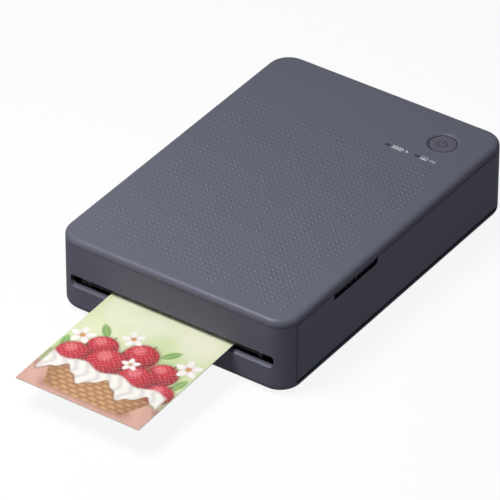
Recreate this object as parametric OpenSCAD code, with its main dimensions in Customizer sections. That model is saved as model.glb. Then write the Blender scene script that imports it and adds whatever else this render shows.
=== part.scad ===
// Compact photo printer with a hinged top cover, a side door for the ribbon cassette and a print
// half out of its front slot. X runs to the right, -Y is the front, Z is up; the origin is the
// centre of the case's footprint on the table.

/* [Case] */
// Width of the case
case_w = 102.2; // [101.6:0.1:112]
// Depth of the case, front to rear
case_d = 145.8; // [145.4:0.1:160]
// Height of the case without its feet
case_h = 31.9; // [31.6:0.1:36]
// Radius of the four upright corners
corner_r = 9.1; // [8.5:0.1:10]
// Radius of the top edge, which is also the lid's hinge barrel
top_edge_r = 2.3; // [2.1:0.1:2.5]
// Radius of the bottom edge
bottom_edge_r = 3.1; // [2.4:0.1:3.8]
// Wall of the casings
wall = 2; // [1.7:0.1:2.2]
// Height of the lid at its edge
lid_h = 2.9; // [2.7:0.1:3.4]
// Thickness of the lid's plate
lid_t = 1.8; // [1.4:0.1:2]
// Gap between lid and body
seam_gap = 0.2; // [0.1:0.05:0.3]
// Thickness of the base cover
base_t = 1.8; // [1.5:0.1:2.2]
// Distance from the case's outline to the base cover's edge
base_inset = 4.2; // [3.9:0.1:4.6]
// Gap round the base cover
base_gap = 0.15; // [0.1:0.05:0.2]

/* [Feet and screws] */
// Height of the rubber feet below the case
foot_h = 1; // [0.6:0.1:1.4]
// Radius of a rubber foot
foot_r = 4.5; // [3:0.1:6]
// Distance of a foot or case screw from the case's sides
corner_in = 8.5; // [8.2:0.1:9]
// Distance from a case screw to the foot beside it
foot_step = 8; // [7:0.1:9]
// Radius of a case screw's thread
screw_r = 1; // [0.8:0.1:1.2]
// Length of a case screw
screw_l = 4; // [3.6:0.1:4.3]

/* [Lid hinge] */
// Gap between the lid's barrel and the body
hinge_gap = 0.3; // [0.25:0.05:0.4]
// Radius of the hinge pins
hinge_pin_r = 0.6; // [0.5:0.05:0.7]
// Radius of the body's hinge knuckles
knuckle_r = 1.5; // [1.3:0.05:1.55]
// Length of a knuckle
knuckle_l = 8; // [6:0.5:12]
// Distance of a knuckle from the case's middle
knuckle_y = 45; // [35:1:50]
// Running gap of pins and shafts in their bores
pin_gap = 0.05; // [0.03:0.01:0.08]

/* [Finger tab] */
// Front end of the lid's finger tab, from the case's middle
tab_front = 42.8; // [36:0.1:48]
// Length of the finger tab
tab_l = 27.2; // [20:0.1:32]
// Depth of the finger tab below the lid's edge
tab_drop = 2.5; // [2:0.1:3.5]
// Gap between the finger tab and the side door
tab_gap = 0.5; // [0.3:0.05:0.8]

/* [Side door] */
// Length of the side door
door_l = 132.4; // [128:0.1:133]
// Height of the side door's lower edge above the table
door_z = 4.2; // [4:0.1:5]
// Radius of the side door's round lower edge, about its pivot
door_barrel_r = 1.5; // [1.4:0.05:1.6]
// Gap round the side door
door_gap = 0.25; // [0.15:0.05:0.4]
// Radius of the side door's pins
door_pin_r = 0.5; // [0.4:0.05:0.55]

/* [Print slot] */
// Distance of the print slot's ends from the case's sides
slot_in = 6.2; // [6.1:0.1:13]
// Height of the print slot
slot_h = 5.3; // [4.6:0.1:6]
// Lower edge of the print slot above the table
slot_z = 11.7; // [11.4:0.1:12]
// Depth of the slot's sloping lower lip
lip_depth = 1.5; // [0.8:0.1:1.8]
// Rise of the slot's lower lip
lip_rise = 0.7; // [0.3:0.1:1]

/* [Paper] */
// Width of a sheet
paper_w = 54; // [50:0.5:56]
// Length of a sheet
paper_l = 86; // [80:0.5:86]
// Thickness of a sheet
paper_t = 0.3; // [0.2:0.05:0.3]
// Length of the print outside the case
print_out = 57.1; // [40:0.1:70]
// Height of the paper path at the front, above the table
path_z = 14.35; // [14.2:0.05:14.5]
// Slope of the paper path, falling to the front
path_tilt = 1.9; // [1.6:0.1:2]
// Sheets in the tray
sheets = 9; // [1:1:9]

/* [Rollers] */
// Gap between a roller and the paper
roll_gap = 0.04; // [0.02:0.01:0.06]
// Place of the exit roller, measured from the front
exit_y = 7; // [6.8:0.1:7.4]
// Radius of the exit tyres
exit_r = 3.5; // [3.2:0.1:3.7]
// Radius of the small exit idlers
idler_r = 1.25; // [1:0.05:1.3]
// Place of the platen roller
platen_y = 20.75; // [20.4:0.05:21]
// Radius of the platen roller
platen_r = 5; // [4.8:0.05:5.1]
// Place of the capstan roller
capstan_y = 46; // [45.4:0.1:46.2]
// Radius of the capstan roller
capstan_r = 2; // [1.8:0.05:2.1]
// Radius of the pinch roller
pinch_r = 2.5; // [2.2:0.1:3]
// Place of the pickup roller
pickup_y = 60; // [59.4:0.1:60.4]
// Radius of the pickup tyres
pickup_r = 4; // [3.6:0.1:4.2]
// Gap between the pickup tyres and the paper path
pickup_gap = 0.3; // [0.2:0.05:0.5]
// Length of a roller beyond the paper, each side
roller_over = 1.5; // [1:0.25:2.5]

/* [Frame] */
// Place of the side plates between a sheet's edge (0) and the case's wall (1)
plate_share = 0.466; // [0.444:0.001:0.479]
// Thickness of a side plate
plate_t = 1.2; // [1:0.1:1.3]

/* [Gears] */
// Module of the gears
gear_m = 0.4; // [0.4:0.005:0.405]
// Width of the gears
gear_t = 2.4; // [2:0.1:2.6]
// Distance from the left side plate to the gears
gear_off = 1.1; // [0.9:0.1:1.2]
// Backlash between two gears
backlash = 0.12; // [0.1:0.01:0.16]
// Radius of the studs that carry the idlers
stud_r = 0.8; // [0.7:0.05:0.9]

/* [Ribbon cassette] */
// Outer radius of a spool's housing
spool_case_r = 5.4; // [5.2:0.05:5.5]
// Wall of a spool's housing
spool_wall = 0.9; // [0.7:0.05:1]
// Distance of the spools from the platen
spool_off = 12.35; // [12.2:0.05:12.5]
// Height of the spools over the paper path
spool_z = 8.6; // [8.5:0.05:8.7]
// Radius of the ribbon on the supply spool
supply_r = 4; // [3.4:0.1:4.1]
// Radius of the ribbon on the take-up spool
takeup_r = 3; // [2.4:0.1:3.6]
// Thickness of the ribbon's film, drawn thick
film_t = 0.08; // [0.06:0.01:0.1]
// Gap between the cassette and the left side plate
cassette_left = 1.3; // [1.2:0.05:1.4]
// Distance of the cassette's right end from the case's side
cassette_in = 6.6; // [6.5:0.1:9.1]

/* [Thermal head] */
// Lift of the head from the platen
head_lift = 1.2; // [1:0.1:1.3]
// Height of the lowered head over the paper path
head_down_z = 0.35; // [0.32:0.01:0.4]
// Depth of the head and its heat sink, front to rear
head_d = 10; // [8:0.1:11]
// Height of the heat sink's top over the raised head's face
head_h = 8.1; // [7.5:0.1:8.2]
// Smallest radius of the cams
cam_r = 1.6; // [1.5:0.05:1.7]
// Gap between the cams and the heat sink
cam_gap = 0.15; // [0.1:0.05:0.2]

/* [Paper tray] */
// Depth of the tray's floor below the paper path
tray_z = 3.7; // [3.7:0.05:4]
// Thickness of the tray
tray_t = 1.2; // [1:0.1:1.2]
// Thickness of a paper guide
guide_t = 1; // [0.8:0.1:1.2]
// Gap between the paper and its guides
guide_gap = 0.15; // [0.1:0.05:0.3]
// Travel of a paper guide
guide_travel = 7; // [5:0.5:7]

/* [Pressure plate] */
// Width of the pressure plate in the lid
press_w = 50; // [40:1:52]
// Length of the pressure plate
press_l = 54; // [40:1:56]
// Height of the pressure plate over the paper path
press_z = 1.2; // [1:0.1:1.6]
// Travel of the pressure plate
press_travel = 1.5; // [1:0.1:1.7]

/* [Power button] */
// Distance of the power button from the case's right side
button_side = 18.1; // [17.1:0.1:23.1]
// Distance of the power button from the case's rear
button_in = 17.5; // [16:0.1:19]
// Radius of the power button
button_r = 5.3; // [4:0.1:6]
// Radial gap round the power button
button_gap = 0.15; // [0.1:0.05:0.25]
// Depth of the power button's top below the lid
button_sink = 0.6; // [0.3:0.1:0.8]
// Travel of the power button
button_travel = 0.4; // [0.2:0.05:0.4]
// Length of an indicator lens
lens_l = 2.2; // [1.4:0.1:3]
// Width of an indicator lens
lens_w = 1.1; // [0.8:0.1:1.4]

/* [Drive motor] */
// Diameter of the motor
motor_d = 14; // [12:0.5:15]
// Gap between the motor and the case's wall
motor_gap = 1; // [0.6:0.1:1.6]
// Angle of the motor's shaft from the drive gear
motor_angle = 20; // [18:1:22]

/* [Electronics] */
// Width of the battery pack
battery_w = 53; // [40:1:53]
// Length of the battery pack
battery_l = 60; // [50:1:62]
// Thickness of the battery pack
battery_h = 7.4; // [5:0.1:7.8]
// Width of the main board
board_w = 24; // [20:0.5:24]
// Length of the main board
board_l = 68; // [60:1:69]
// Thickness of the circuit boards
board_t = 1.2; // [1:0.1:1.6]
// Height of the main board over the base cover
board_z = 1.2; // [1:0.1:1.6]
// Width of the charging socket
usb_w = 8.94; // [8.9:0.01:9]
// Height of the charging socket
usb_h = 3.26; // [3.2:0.01:3.3]

/* [Hidden] */
$fn = 64;
eps = 0.01;

// Colours
shell_grey = "#4c4d54";
trim_grey = "#2f3034";
steel = "#b5b8bc";
nylon = "#d9d6cc";
rubber = "#1d1d1f";
board_green = "#1f5a3c";

// Heights above the table
case_top = foot_h + case_h;
lid_z = case_top - lid_h;
body_top = lid_z - seam_gap;
base_top = foot_h + base_t;
lid_under = case_top - lid_t;
front_y = -case_d/2;

// Print slot
slot_w = case_w - 2*slot_in;
slot_r = 1.6;

// Lid hinge axis, at the centre of the lid's top edge radius
hinge_x = -case_w/2 + top_edge_r;
hinge_z = case_top - top_edge_r;
barrel_gap = 0.1;
hinge_pin_l = 2*knuckle_l;
bracket_x = 0.15;
ledge_in = 0.5;
ledge_t = 1.4;
ledge_z = 1.6;

// Side door
door_x = case_w/2 - wall;
pivot_x = case_w/2 - door_barrel_r;
pivot_z = door_z + door_barrel_r;
door_top = body_top - 0.1;
sill_z = door_z - door_gap;
door_pin_in = 0.95;
door_pin_l = 5;
post_gap = 0.15;
rib_places = [-0.38, -0.06, 0.06, 0.38];
rib_out = 0.8;
rib_t = 1.2;

// Finger tab on the lid
tab_z = lid_z - tab_drop;
notch_z = tab_z - tab_gap;
tab_rear = -tab_front + tab_l;
tab_corner = 2;
tab_slope = 1.1;
grip_step = 3.4;
grip_start = 7.5;
grip_d = 0.6;
grip_w = 0.7;
grip_h = 0.55*tab_drop;

// Paper path: y from the front, z square to the paper
half_t = paper_t/2;
exit_pos = [exit_y, -(half_t + roll_gap + exit_r)];
platen_pos = [platen_y, -(half_t + roll_gap + platen_r)];
capstan_pos = [capstan_y, -(half_t + roll_gap + capstan_r)];
pinch_pos = [capstan_y, half_t + roll_gap + pinch_r];
idler_pos = [exit_y, half_t + roll_gap + idler_r];
pickup_pos = [pickup_y, half_t + pickup_gap + pickup_r];
supply_pos = [platen_y + spool_off, spool_z];
takeup_pos = [platen_y - spool_off, spool_z];
roller_half = paper_w/2 + roller_over;

// Side plates; the steps of their upper edge are distances from the front and heights over the path
plate_x = paper_w/2 + plate_share*(case_w/2 - wall - paper_w/2);
plate_out = plate_x + plate_t;
plate_front = wall + 0.6;
plate_rear = 66.9;
plate_rear_h = 12;
plate_steps = [[66.4, 7.5], [56.9, 9], [45.9, 14.6], [plate_front, 14.6]];
foot_ys = [front_y + 11.9, front_y + 39.9];
foot_tab = 7;
foot_tab_w = 6;

// Shaft radii
exit_shaft_r = 1.5;
platen_shaft_r = 2;
capstan_shaft_r = 1.1;
pinch_shaft_r = 1;
idler_shaft_r = 0.5;
pickup_shaft_r = 1.2;
cam_shaft_r = 1;
journal_r = 1.2;
stub_r = 1.9;
key_gap = 0.03;
shaft_end = plate_out + 0.3;

// Tyres and idlers on the exit and pickup shafts
exit_step = 20;
exit_half = 4;
pickup_step = 12;
pickup_half = 5;

// Gear train
exit_n = 21;
platen_n = 30;
drive_n = 46;
small_n = 12;
takeup_n = 18;
pickup_n = 20;
pickup_idler_n = 14;
pressure_angle = 20;
gear_x1 = -(plate_out + gear_off);
gear_x0 = gear_x1 - gear_t;
function pitch_r(n) = gear_m*n/2;
function reach(n, k) = pitch_r(n) + pitch_r(k);
// Point that lies ra from a and rb from b, on one side of the line between them
function meet(a, ra, b, rb, side) =
  let (d = norm(b - a), u = (b - a)/d, t = (ra*ra - rb*rb + d*d)/(2*d), h = sqrt(ra*ra - t*t))
  a + u*t + side*h*[-u[1], u[0]];
function bearing(a, b) = atan2(b[1] - a[1], b[0] - a[0]);
// Angle at which a wheel of nb teeth meshes with one of na teeth that stands at angle pa
function mesh(na, pa, nb, b) = b + 180 - (360/nb)*(0.5 - na*(b - pa)/360);
feed_idler_pos = meet(exit_pos, reach(exit_n, small_n), platen_pos, reach(platen_n, small_n), 1);
drive_pos = meet(platen_pos, reach(platen_n, drive_n), capstan_pos, reach(small_n, drive_n), 1);
motor_pos = drive_pos + reach(drive_n, small_n)*[cos(motor_angle), sin(motor_angle)];
takeup_idler_pos = meet(exit_pos, reach(exit_n, small_n), takeup_pos, reach(takeup_n, small_n), 1);
idler_front_angle = -5;
idler_front_pos = capstan_pos
  + reach(small_n, pickup_idler_n)*[cos(idler_front_angle), sin(idler_front_angle)];
idler_rear_pos = meet(idler_front_pos, reach(pickup_idler_n, pickup_idler_n), pickup_pos,
  reach(pickup_n, pickup_idler_n), -1);
feed_idler_a = mesh(platen_n, 0, small_n, bearing(platen_pos, feed_idler_pos));
exit_a = mesh(small_n, feed_idler_a, exit_n, bearing(feed_idler_pos, exit_pos));
drive_a = mesh(platen_n, 0, drive_n, bearing(platen_pos, drive_pos));
capstan_a = mesh(drive_n, drive_a, small_n, bearing(drive_pos, capstan_pos));
motor_a = mesh(drive_n, drive_a, small_n, bearing(drive_pos, motor_pos));
takeup_idler_a = mesh(exit_n, exit_a, small_n, bearing(exit_pos, takeup_idler_pos));
takeup_a = mesh(small_n, takeup_idler_a, takeup_n, bearing(takeup_idler_pos, takeup_pos));
idler_front_a = mesh(small_n, capstan_a, pickup_idler_n, bearing(capstan_pos, idler_front_pos));
idler_rear_a = mesh(pickup_idler_n, idler_front_a, pickup_idler_n,
  bearing(idler_front_pos, idler_rear_pos));
pickup_a = mesh(pickup_idler_n, idler_rear_a, pickup_n, bearing(idler_rear_pos, pickup_pos));

// Motor
motor_shaft_r = 0.6;
motor_x1 = gear_x0 - 0.5;
ear_angles = [120, 15];
ear_out = 1.8;
ear_half = 2;
motor_ears = [for (a = ear_angles) motor_pos + (motor_d/2 + ear_out)*[cos(a), sin(a)]];

// Thermal head, drawn raised
head_z = head_down_z + head_lift;
head_top = head_z + head_h;
head_half = paper_w/2 + 3;
head_plate_t = 1.45;
cam_turn = 150;
cam_pos = [platen_y, head_top + cam_gap + cam_r];
cam_w = 4;
cam_x = 20;
head_bar_w = 2;
head_bar_z = head_z + 3;
head_bar_h = 2.9;
bar_gap = 0.1;
spring_r = 1;
spring_wall = 0.4;
spring_x = head_half + spring_r + 0.2;
heater_half = 0.8;
heater_t = 0.3;
fins = 4;
fin_t = 1;

// Ribbon
film_z = half_t + 0.07;
film_half = paper_w/2 + 0.5;
film_run = head_d/2 + 1.3;
film_gap = 0.03;
spool_core_r = 1.6;
flange_r = spool_case_r - spool_wall - 0.15;
flange_off = 1.2;
flange_t = 1;
strap_z = film_z + film_t + 0.05;
strap_h = 1;
lug_w = 2.5;
lug_off = 10.0;
cassette_gap = 0.2;
end_t = 1.2;
cassette_x0 = cassette_left - plate_x;
cassette_x1 = case_w/2 - cassette_in;
grip_half = 6;
grip_out = 1.2;
grip_t = 2;

// Paper tray
tray_x = plate_x - 0.1;
tray_y0 = 53.8;
stack_y = tray_y0 + tray_t + 0.2;
tray_y1 = stack_y + paper_l + 0.3 + tray_t;
tray_wall_z = 3;
sheet_step = paper_t + 0.02;
guide_x = paper_w/2 + guide_gap;
guide_y = 66;
guide_l = 62;
guide_foot = 0.75;
lug_y = 98;
lug_l = 4;
leg_r = 1.5;
leg_gap = 0.4;
leg_ys = [front_y + tray_y0 + 25.1, front_y + tray_y1 - 12.8];

// Pressure plate, its posts and cups
press_y = 66.5;
press_t = 1;
post_r = 2;
cup_gap = 0.3;
cup_wall = 0.8;
cup_z = 24.5;
cup_x = 16;
cup_ys = [front_y + press_y + 9.4, front_y + press_y + 33.4];
liner_t = 1.2;
liner_half = plate_x - 1.3;
liner_in = 12.9;
liner_front = front_y + liner_in;
liner_rear = cup_ys[1] + 9;
liner_z = lid_under - liner_t;
spring_solid = 1.2;
post_top = liner_z - press_travel - spring_solid;

// Power button and its board
button_x = case_w/2 - button_side;
button_y = case_d/2 - button_in;
button_top = case_top - button_sink;
button_flange = 0.6;
dish_r = button_r + 1.1;
stem_r = 1.2;
button_board_z = 27.4;
button_board_w = 30;
button_board_d = 25;
button_board_x = button_x - 7;
button_board_y = button_y - 3.5;
switch_h = 1.1;
post_x = 13;
board_post_y = button_board_y - 7;
lens_front = 12.6;
lens_gap = 0.1;

// Electronics on the base cover
board_x = -case_w/2 + wall + 2.1 + board_w/2;
board_front = case_d/2 - wall - 2.9 - board_l;
board_posts = [for (sx = [-1, 1], sy = [0, 1])
  [board_x + sx*(board_w/2 - 3), board_front + 4 + sy*(board_l - 16)]];
battery_gap = 4.6;
battery_x = board_x + board_w/2 + battery_gap + battery_w/2;
battery_y = case_d/2 - wall - 8.9 - battery_l/2;
boss_room = 3.6;
chip_s = 10;
chip_h = 1;
plug_l = 12;
plug_w = 4;
plug_h = 3;
cap_r = 1.6;
cap_h = 2.4;
cap_step = 5;
usb_x = board_x + 1;
usb_depth = 7.4;
usb_shell = 0.3;
usb_gap = 0.1;
usb_z = base_top + board_z + board_t + usb_h/2;

// Plain shapes
module plan(w, d, r) {
  square([w - 2*r, d], center = true);
  square([w, d - 2*r], center = true);
  for (sx = [-1, 1], sy = [-1, 1]) translate([sx*(w/2 - r), sy*(d/2 - r)]) circle(r);
}
module edge_cut(r) {
  difference() {
    square(r + 1);
    circle(r);
  }
}
// Half section of a block with a round upper and lower edge; a radius of 0 leaves it square
module edge_section(w, h, top_r, bottom_r) {
  difference() {
    square([w, h]);
    if (top_r > 0) translate([w - top_r, h - top_r]) edge_cut(top_r);
    if (bottom_r > 0) translate([w - bottom_r, bottom_r]) mirror([0, 1]) edge_cut(bottom_r);
  }
}
// Block with round upright corners and round upper and lower edges
module pillow(w, d, r, h, top_r, bottom_r) {
  for (sx = [-1, 1], sy = [-1, 1])
    translate([sx*(w/2 - r), sy*(d/2 - r)]) rotate_extrude() edge_section(r, h, top_r, bottom_r);
  for (s = [0, 1]) mirror([s, 0])
    translate([0, d/2 - r]) rotate([90, 0, 0])
      linear_extrude(d - 2*r) edge_section(w/2, h, top_r, bottom_r);
  for (s = [0, 1]) mirror([0, s])
    translate([w/2 - r, 0]) rotate([90, 0, -90]) mirror([1, 0])
      linear_extrude(w - 2*r) edge_section(d/2, h, top_r, bottom_r);
}
// Extrudes a drawing of the Y-Z plane from x0 to x1
module across(x0, x1) translate([x0, 0, 0]) rotate([90, 0, 90]) linear_extrude(x1 - x0) children();
// Height of the paper path above the table
function path_height(y) = path_z + (y + case_d/2)*tan(path_tilt);
// Moves a drawing into the sloping frame of the paper path
module on_path() translate([0, -case_d/2, path_z]) rotate([path_tilt, 0, 0]) children();
module disc(pos, r) translate(pos) circle(r);
module round_bar(pos, r, x0, x1) across(x0, x1) disc(pos, r);
module tube(pos, r_out, r_in, x0, x1) across(x0, x1) difference() {
  disc(pos, r_out);
  disc(pos, r_in);
}
module box_on_path(x0, x1, y0, y1, z0, z1) translate([x0, y0, z0]) cube([x1 - x0, y1 - y0, z1 - z0]);
// Places of the four case screws
module at_corners(inset) {
  for (sx = [-1, 1], sy = [-1, 1])
    translate([sx*(case_w/2 - inset), sy*(case_d/2 - inset)]) children();
}

// Case
module base_cover() color(shell_grey) difference() {
  union() {
    translate([0, 0, foot_h]) linear_extrude(base_t)
      plan(case_w - 2*base_inset, case_d - 2*base_inset, corner_r - base_inset);
    for (p = board_posts) translate([p[0], p[1], foot_h]) cylinder(r = 1.8, h = base_t + board_z);
  }
  for (s = [-1, 1], y = foot_ys) translate([s*(plate_x - foot_tab/2), y, base_top - base_t/2 - 0.1])
    cylinder(r = screw_r + 0.02, h = base_t);
  at_corners(corner_in) translate([0, 0, foot_h - eps]) {
    cylinder(r = screw_r + 0.15, h = base_t + 1);
    cylinder(r1 = 2*screw_r + 0.1, r2 = screw_r, h = 1.1*screw_r);
  }
}

module screw_boss() {
  boss_h = screw_l - base_t + 0.9;
  translate([0, 0, base_top]) difference() {
    union() {
      cylinder(r = 2.6*screw_r, h = boss_h);
      translate([-1, 0, 0]) cube([2, corner_in - wall/2, boss_h]);
    }
    translate([0, 0, -eps]) cylinder(r = screw_r + 0.02, h = screw_l - base_t + 0.3);
  }
}
// Part of the case's outline beyond the hinge axis, grown by a gap, measured from that axis
module beyond_hinge(gap) intersection() {
  translate([-(case_w/2 - top_edge_r), 0])
    plan(case_w + 2*gap, case_d + 2*gap, corner_r + gap);
  translate([0, -case_d]) square([case_w, 2*case_d]);
}
// The lid's hinge barrel, which tapers with the case's corners
module hinge_barrel(gap)
  translate([hinge_x, 0, hinge_z]) rotate([90, 0, 0]) rotate_extrude() beyond_hinge(gap);
module hinge_rod(r, length) rotate([90, 0, 0]) cylinder(r = r, h = length, center = true);
module at_knuckles() {
  for (s = [-1, 1]) translate([hinge_x, s*knuckle_y, hinge_z]) children();
}
module knuckle() {
  hinge_rod(knuckle_r, knuckle_l);
  // Upright bracket on a ledge that joins it to the wall
  relief = top_edge_r + hinge_gap;
  translate([bracket_x, -knuckle_l/2, -relief - ledge_t])
    cube([knuckle_r - bracket_x, knuckle_l, relief + ledge_t]);
  translate([ledge_in - top_edge_r, -knuckle_l/2, -relief - ledge_z])
    cube([top_edge_r - ledge_in + knuckle_r, knuckle_l, ledge_t]);
}
module usb_outline(gap) plan(usb_w + 2*gap, usb_h + 2*gap, usb_h/2 + gap - eps);

module main_housing() color(shell_grey) difference() {
  union() {
    difference() {
      translate([0, 0, foot_h])
        pillow(case_w, case_d, corner_r, body_top - foot_h, 0, bottom_edge_r);
      translate([0, 0, base_top]) linear_extrude(case_h)
        plan(case_w - 2*wall, case_d - 2*wall, corner_r - wall);
      translate([0, 0, foot_h - 1]) linear_extrude(case_h)
        plan(case_w - 2*base_inset + 2*base_gap, case_d - 2*base_inset + 2*base_gap,
          corner_r - base_inset + base_gap);
      hinge_barrel(hinge_gap);
      // Opening of the side door
      translate([door_x - 3, -door_l/2 - post_gap, sill_z])
        cube([wall + 4, door_l + 2*post_gap, case_h]);
    }
    for (sx = [0, 1], sy = [0, 1]) mirror([sx, 0]) mirror([0, sy])
      translate([case_w/2 - corner_in, case_d/2 - corner_in]) screw_boss();
    at_knuckles() knuckle();
  }
  at_knuckles() hinge_rod(hinge_pin_r + pin_gap, knuckle_l + 1);
  for (s = [-1, 1]) translate([pivot_x, s*(door_l/2), pivot_z])
    hinge_rod(door_pin_r + pin_gap, 2*(post_gap + door_pin_in + 0.1));
  // Print slot with its sloping lower lip
  translate([0, -case_d/2 + wall + 1, slot_z + lip_rise + (slot_h - lip_rise)/2])
    rotate([90, 0, 0]) linear_extrude(wall + 2) plan(slot_w, slot_h - lip_rise, slot_r);
  across(-slot_w/2 + slot_r/2, slot_w/2 - slot_r/2)
    polygon([[-case_d/2 - 1, slot_z - lip_rise/lip_depth], [-case_d/2 + lip_depth, slot_z + lip_rise],
      [-case_d/2 + lip_depth, slot_z + 2.5], [-case_d/2 - 1, slot_z + 2.5]]);
  // Hole of the charging socket
  translate([usb_x, case_d/2 + 1, usb_z]) rotate([90, 0, 0]) linear_extrude(wall + 2)
    usb_outline(usb_gap);
}

module side_door() color(shell_grey) difference() {
  union() {
    intersection() {
      translate([0, 0, pivot_z]) linear_extrude(door_top - pivot_z) difference() {
        plan(case_w, case_d, corner_r);
        plan(case_w - 2*wall, case_d - 2*wall, corner_r - wall);
      }
      translate([door_x - 3, -door_l/2, 0]) cube([wall + 4, door_l, case_h]);
    }
    intersection() {
      translate([pivot_x, 0, pivot_z]) hinge_rod(door_barrel_r, door_l);
      linear_extrude(case_h) plan(case_w, case_d, corner_r);
    }
    // Ribs that stiffen the panel
    for (k = rib_places) translate([door_x - rib_out, k*door_l - rib_t/2, pivot_z + 3])
      cube([rib_out + eps, rib_t, door_top - pivot_z - 8]);
  }
  for (s = [-1, 1]) translate([pivot_x, s*(door_l/2), pivot_z])
    hinge_rod(door_pin_r + pin_gap, 2*(door_pin_l - door_pin_in));
  // Notch for the lid's finger tab, with its rear corner round about the tab's
  across(door_x - 1, case_w/2 + 1) difference() {
    translate([-tab_front - tab_gap/2, notch_z]) square([tab_l + 1.5*tab_gap, case_h]);
    tab_corner_cut(tab_corner + tab_gap);
  }
}

module door_pins() color(steel)
  for (s = [-1, 1]) translate([pivot_x, s*(door_l/2 + post_gap + door_pin_in - door_pin_l/2), pivot_z])
    hinge_rod(door_pin_r, door_pin_l);

// Lid
module tab_corner_cut(r) {
  translate([tab_rear - tab_corner, tab_z + tab_corner]) mirror([0, 1]) edge_cut(r);
}
module tab_outline() {
  difference() {
    translate([-tab_front, tab_z]) square([tab_l, tab_drop + 0.5]);
    tab_corner_cut(tab_corner);
  }
}
module finger_tab() {
  difference() {
    across(door_x, case_w/2) tab_outline();
    // Slanted face, so that a finger gets hold of the edge
    translate([0, -tab_front - 1, 0]) rotate([90, 0, 0]) mirror([0, 0, 1])
      linear_extrude(tab_l + 2)
        polygon([[case_w/2 + 1, lid_z + 0.1], [case_w/2, lid_z + 0.1],
          [case_w/2 - tab_slope, tab_z - eps], [case_w/2 + 1, tab_z - eps]]);
  }
  for (i = [0:2]) translate([case_w/2 - tab_slope - 0.1, -tab_front + grip_start + i*grip_step, tab_z + 0.1])
    cube([grip_d, grip_w, grip_h]);
}
module top_cover() color(shell_grey) difference() {
  union() {
    difference() {
      translate([0, 0, lid_z]) pillow(case_w, case_d, corner_r, lid_h, top_edge_r, 0);
      translate([0, 0, lid_z - 1]) linear_extrude(lid_h - lid_t + 1)
        plan(case_w - 2*wall, case_d - 2*wall, corner_r - wall);
      translate([hinge_x - case_w, -case_d, lid_z - 1]) cube([case_w, 2*case_d, hinge_z - lid_z + 1]);
    }
    hinge_barrel(0);
    finger_tab();
    for (s = [-1, 1]) translate([button_board_x + s*post_x, board_post_y, button_board_z + board_t])
      cylinder(r = 1.6, h = lid_under - button_board_z - board_t + eps);
  }
  at_knuckles() {
    hinge_rod(knuckle_r + barrel_gap, knuckle_l + 0.3);
    translate([-5, -knuckle_l/2 - 0.15, -5]) cube([10, knuckle_l + 0.3, 5]);
    hinge_rod(hinge_pin_r + pin_gap, hinge_pin_l + 0.4);
  }
  // Dish and hole of the power button
  translate([button_x, button_y, lid_under - 1]) cylinder(r = button_r + button_gap, h = lid_t + 2);
  translate([button_x, button_y, button_top])
    cylinder(r1 = button_r + button_gap, r2 = dish_r, h = button_sink + eps);
  at_lenses() translate([0, 0, lid_under - 1]) linear_extrude(lid_t + 2) lens_outline(lens_gap);
}
module at_lenses() {
  translate([button_x - 16, button_y - lens_front]) children();
  translate([button_x - 3, button_y - lens_front]) children();
}
module lens_outline(gap) plan(lens_l + 2*gap, lens_w + 2*gap, lens_w/2 + gap - eps);

module cover_hinge_pins() color(steel) at_knuckles() hinge_rod(hinge_pin_r, hinge_pin_l);

module at_cups() {
  for (sx = [-1, 1], y = cup_ys) translate([sx*cup_x, y, 0]) children();
}
module cover_liner() color(trim_grey) difference() {
  union() {
    translate([-liner_half, liner_front, liner_z]) cube([2*liner_half, liner_rear - liner_front, liner_t]);
    at_cups() translate([0, 0, cup_z]) cylinder(r = post_r + cup_gap + cup_wall, h = liner_z - cup_z + eps);
  }
  at_cups() translate([0, 0, cup_z - 1]) cylinder(r = post_r + cup_gap, h = liner_z - cup_z + 1);
}
module pressure_plate() color(trim_grey) {
  on_path() box_on_path(-press_w/2, press_w/2, press_y, press_y + press_l, press_z, press_z + press_t);
  for (sx = [-1, 1], y = cup_ys) {
    foot = path_height(y) + press_z + press_t/2;
    translate([sx*cup_x, y, foot]) cylinder(r = post_r, h = post_top - foot);
  }
}
module pressure_springs() color(steel) at_cups() translate([0, 0, post_top + 0.05]) difference() {
  cylinder(r = post_r - 0.2, h = liner_z - post_top - 0.1);
  translate([0, 0, -1]) cylinder(r = post_r - 0.8, h = case_h);
}

// Power button, its switch and the indicators
module power_button() color(trim_grey) translate([button_x, button_y, 0]) {
  translate([0, 0, lid_under - 0.1]) cylinder(r = button_r, h = button_top - lid_under + 0.1);
  translate([0, 0, lid_under - button_flange - 0.05])
    cylinder(r = button_r + 0.6, h = button_flange);
  stem_z = button_board_z + board_t + switch_h + button_travel + 0.05;
  translate([0, 0, stem_z]) cylinder(r = stem_r, h = lid_under - stem_z - 0.3);
}
module power_switch() color(steel)
  translate([button_x, button_y, button_board_z + board_t]) {
    translate([-2.5, -2.5, 0]) cube([5, 5, switch_h - 0.4]);
    cylinder(r = 1, h = switch_h);
  }
module button_board() color(board_green) difference() {
  translate([button_board_x - button_board_w/2, button_board_y - button_board_d/2, button_board_z])
    cube([button_board_w, button_board_d, board_t]);
  for (s = [-1, 1]) translate([button_board_x + s*post_x, board_post_y, button_board_z - 1])
    cylinder(r = 0.8, h = board_t + 2);
}
module indicator_lenses() color("#151517") at_lenses() {
  translate([0, 0, button_board_z + board_t + 0.5]) linear_extrude(case_top - button_board_z - board_t - 0.55)
    lens_outline(0);
  translate([0, 0, lid_under - 0.85]) linear_extrude(0.8) lens_outline(0.6);
}

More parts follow.
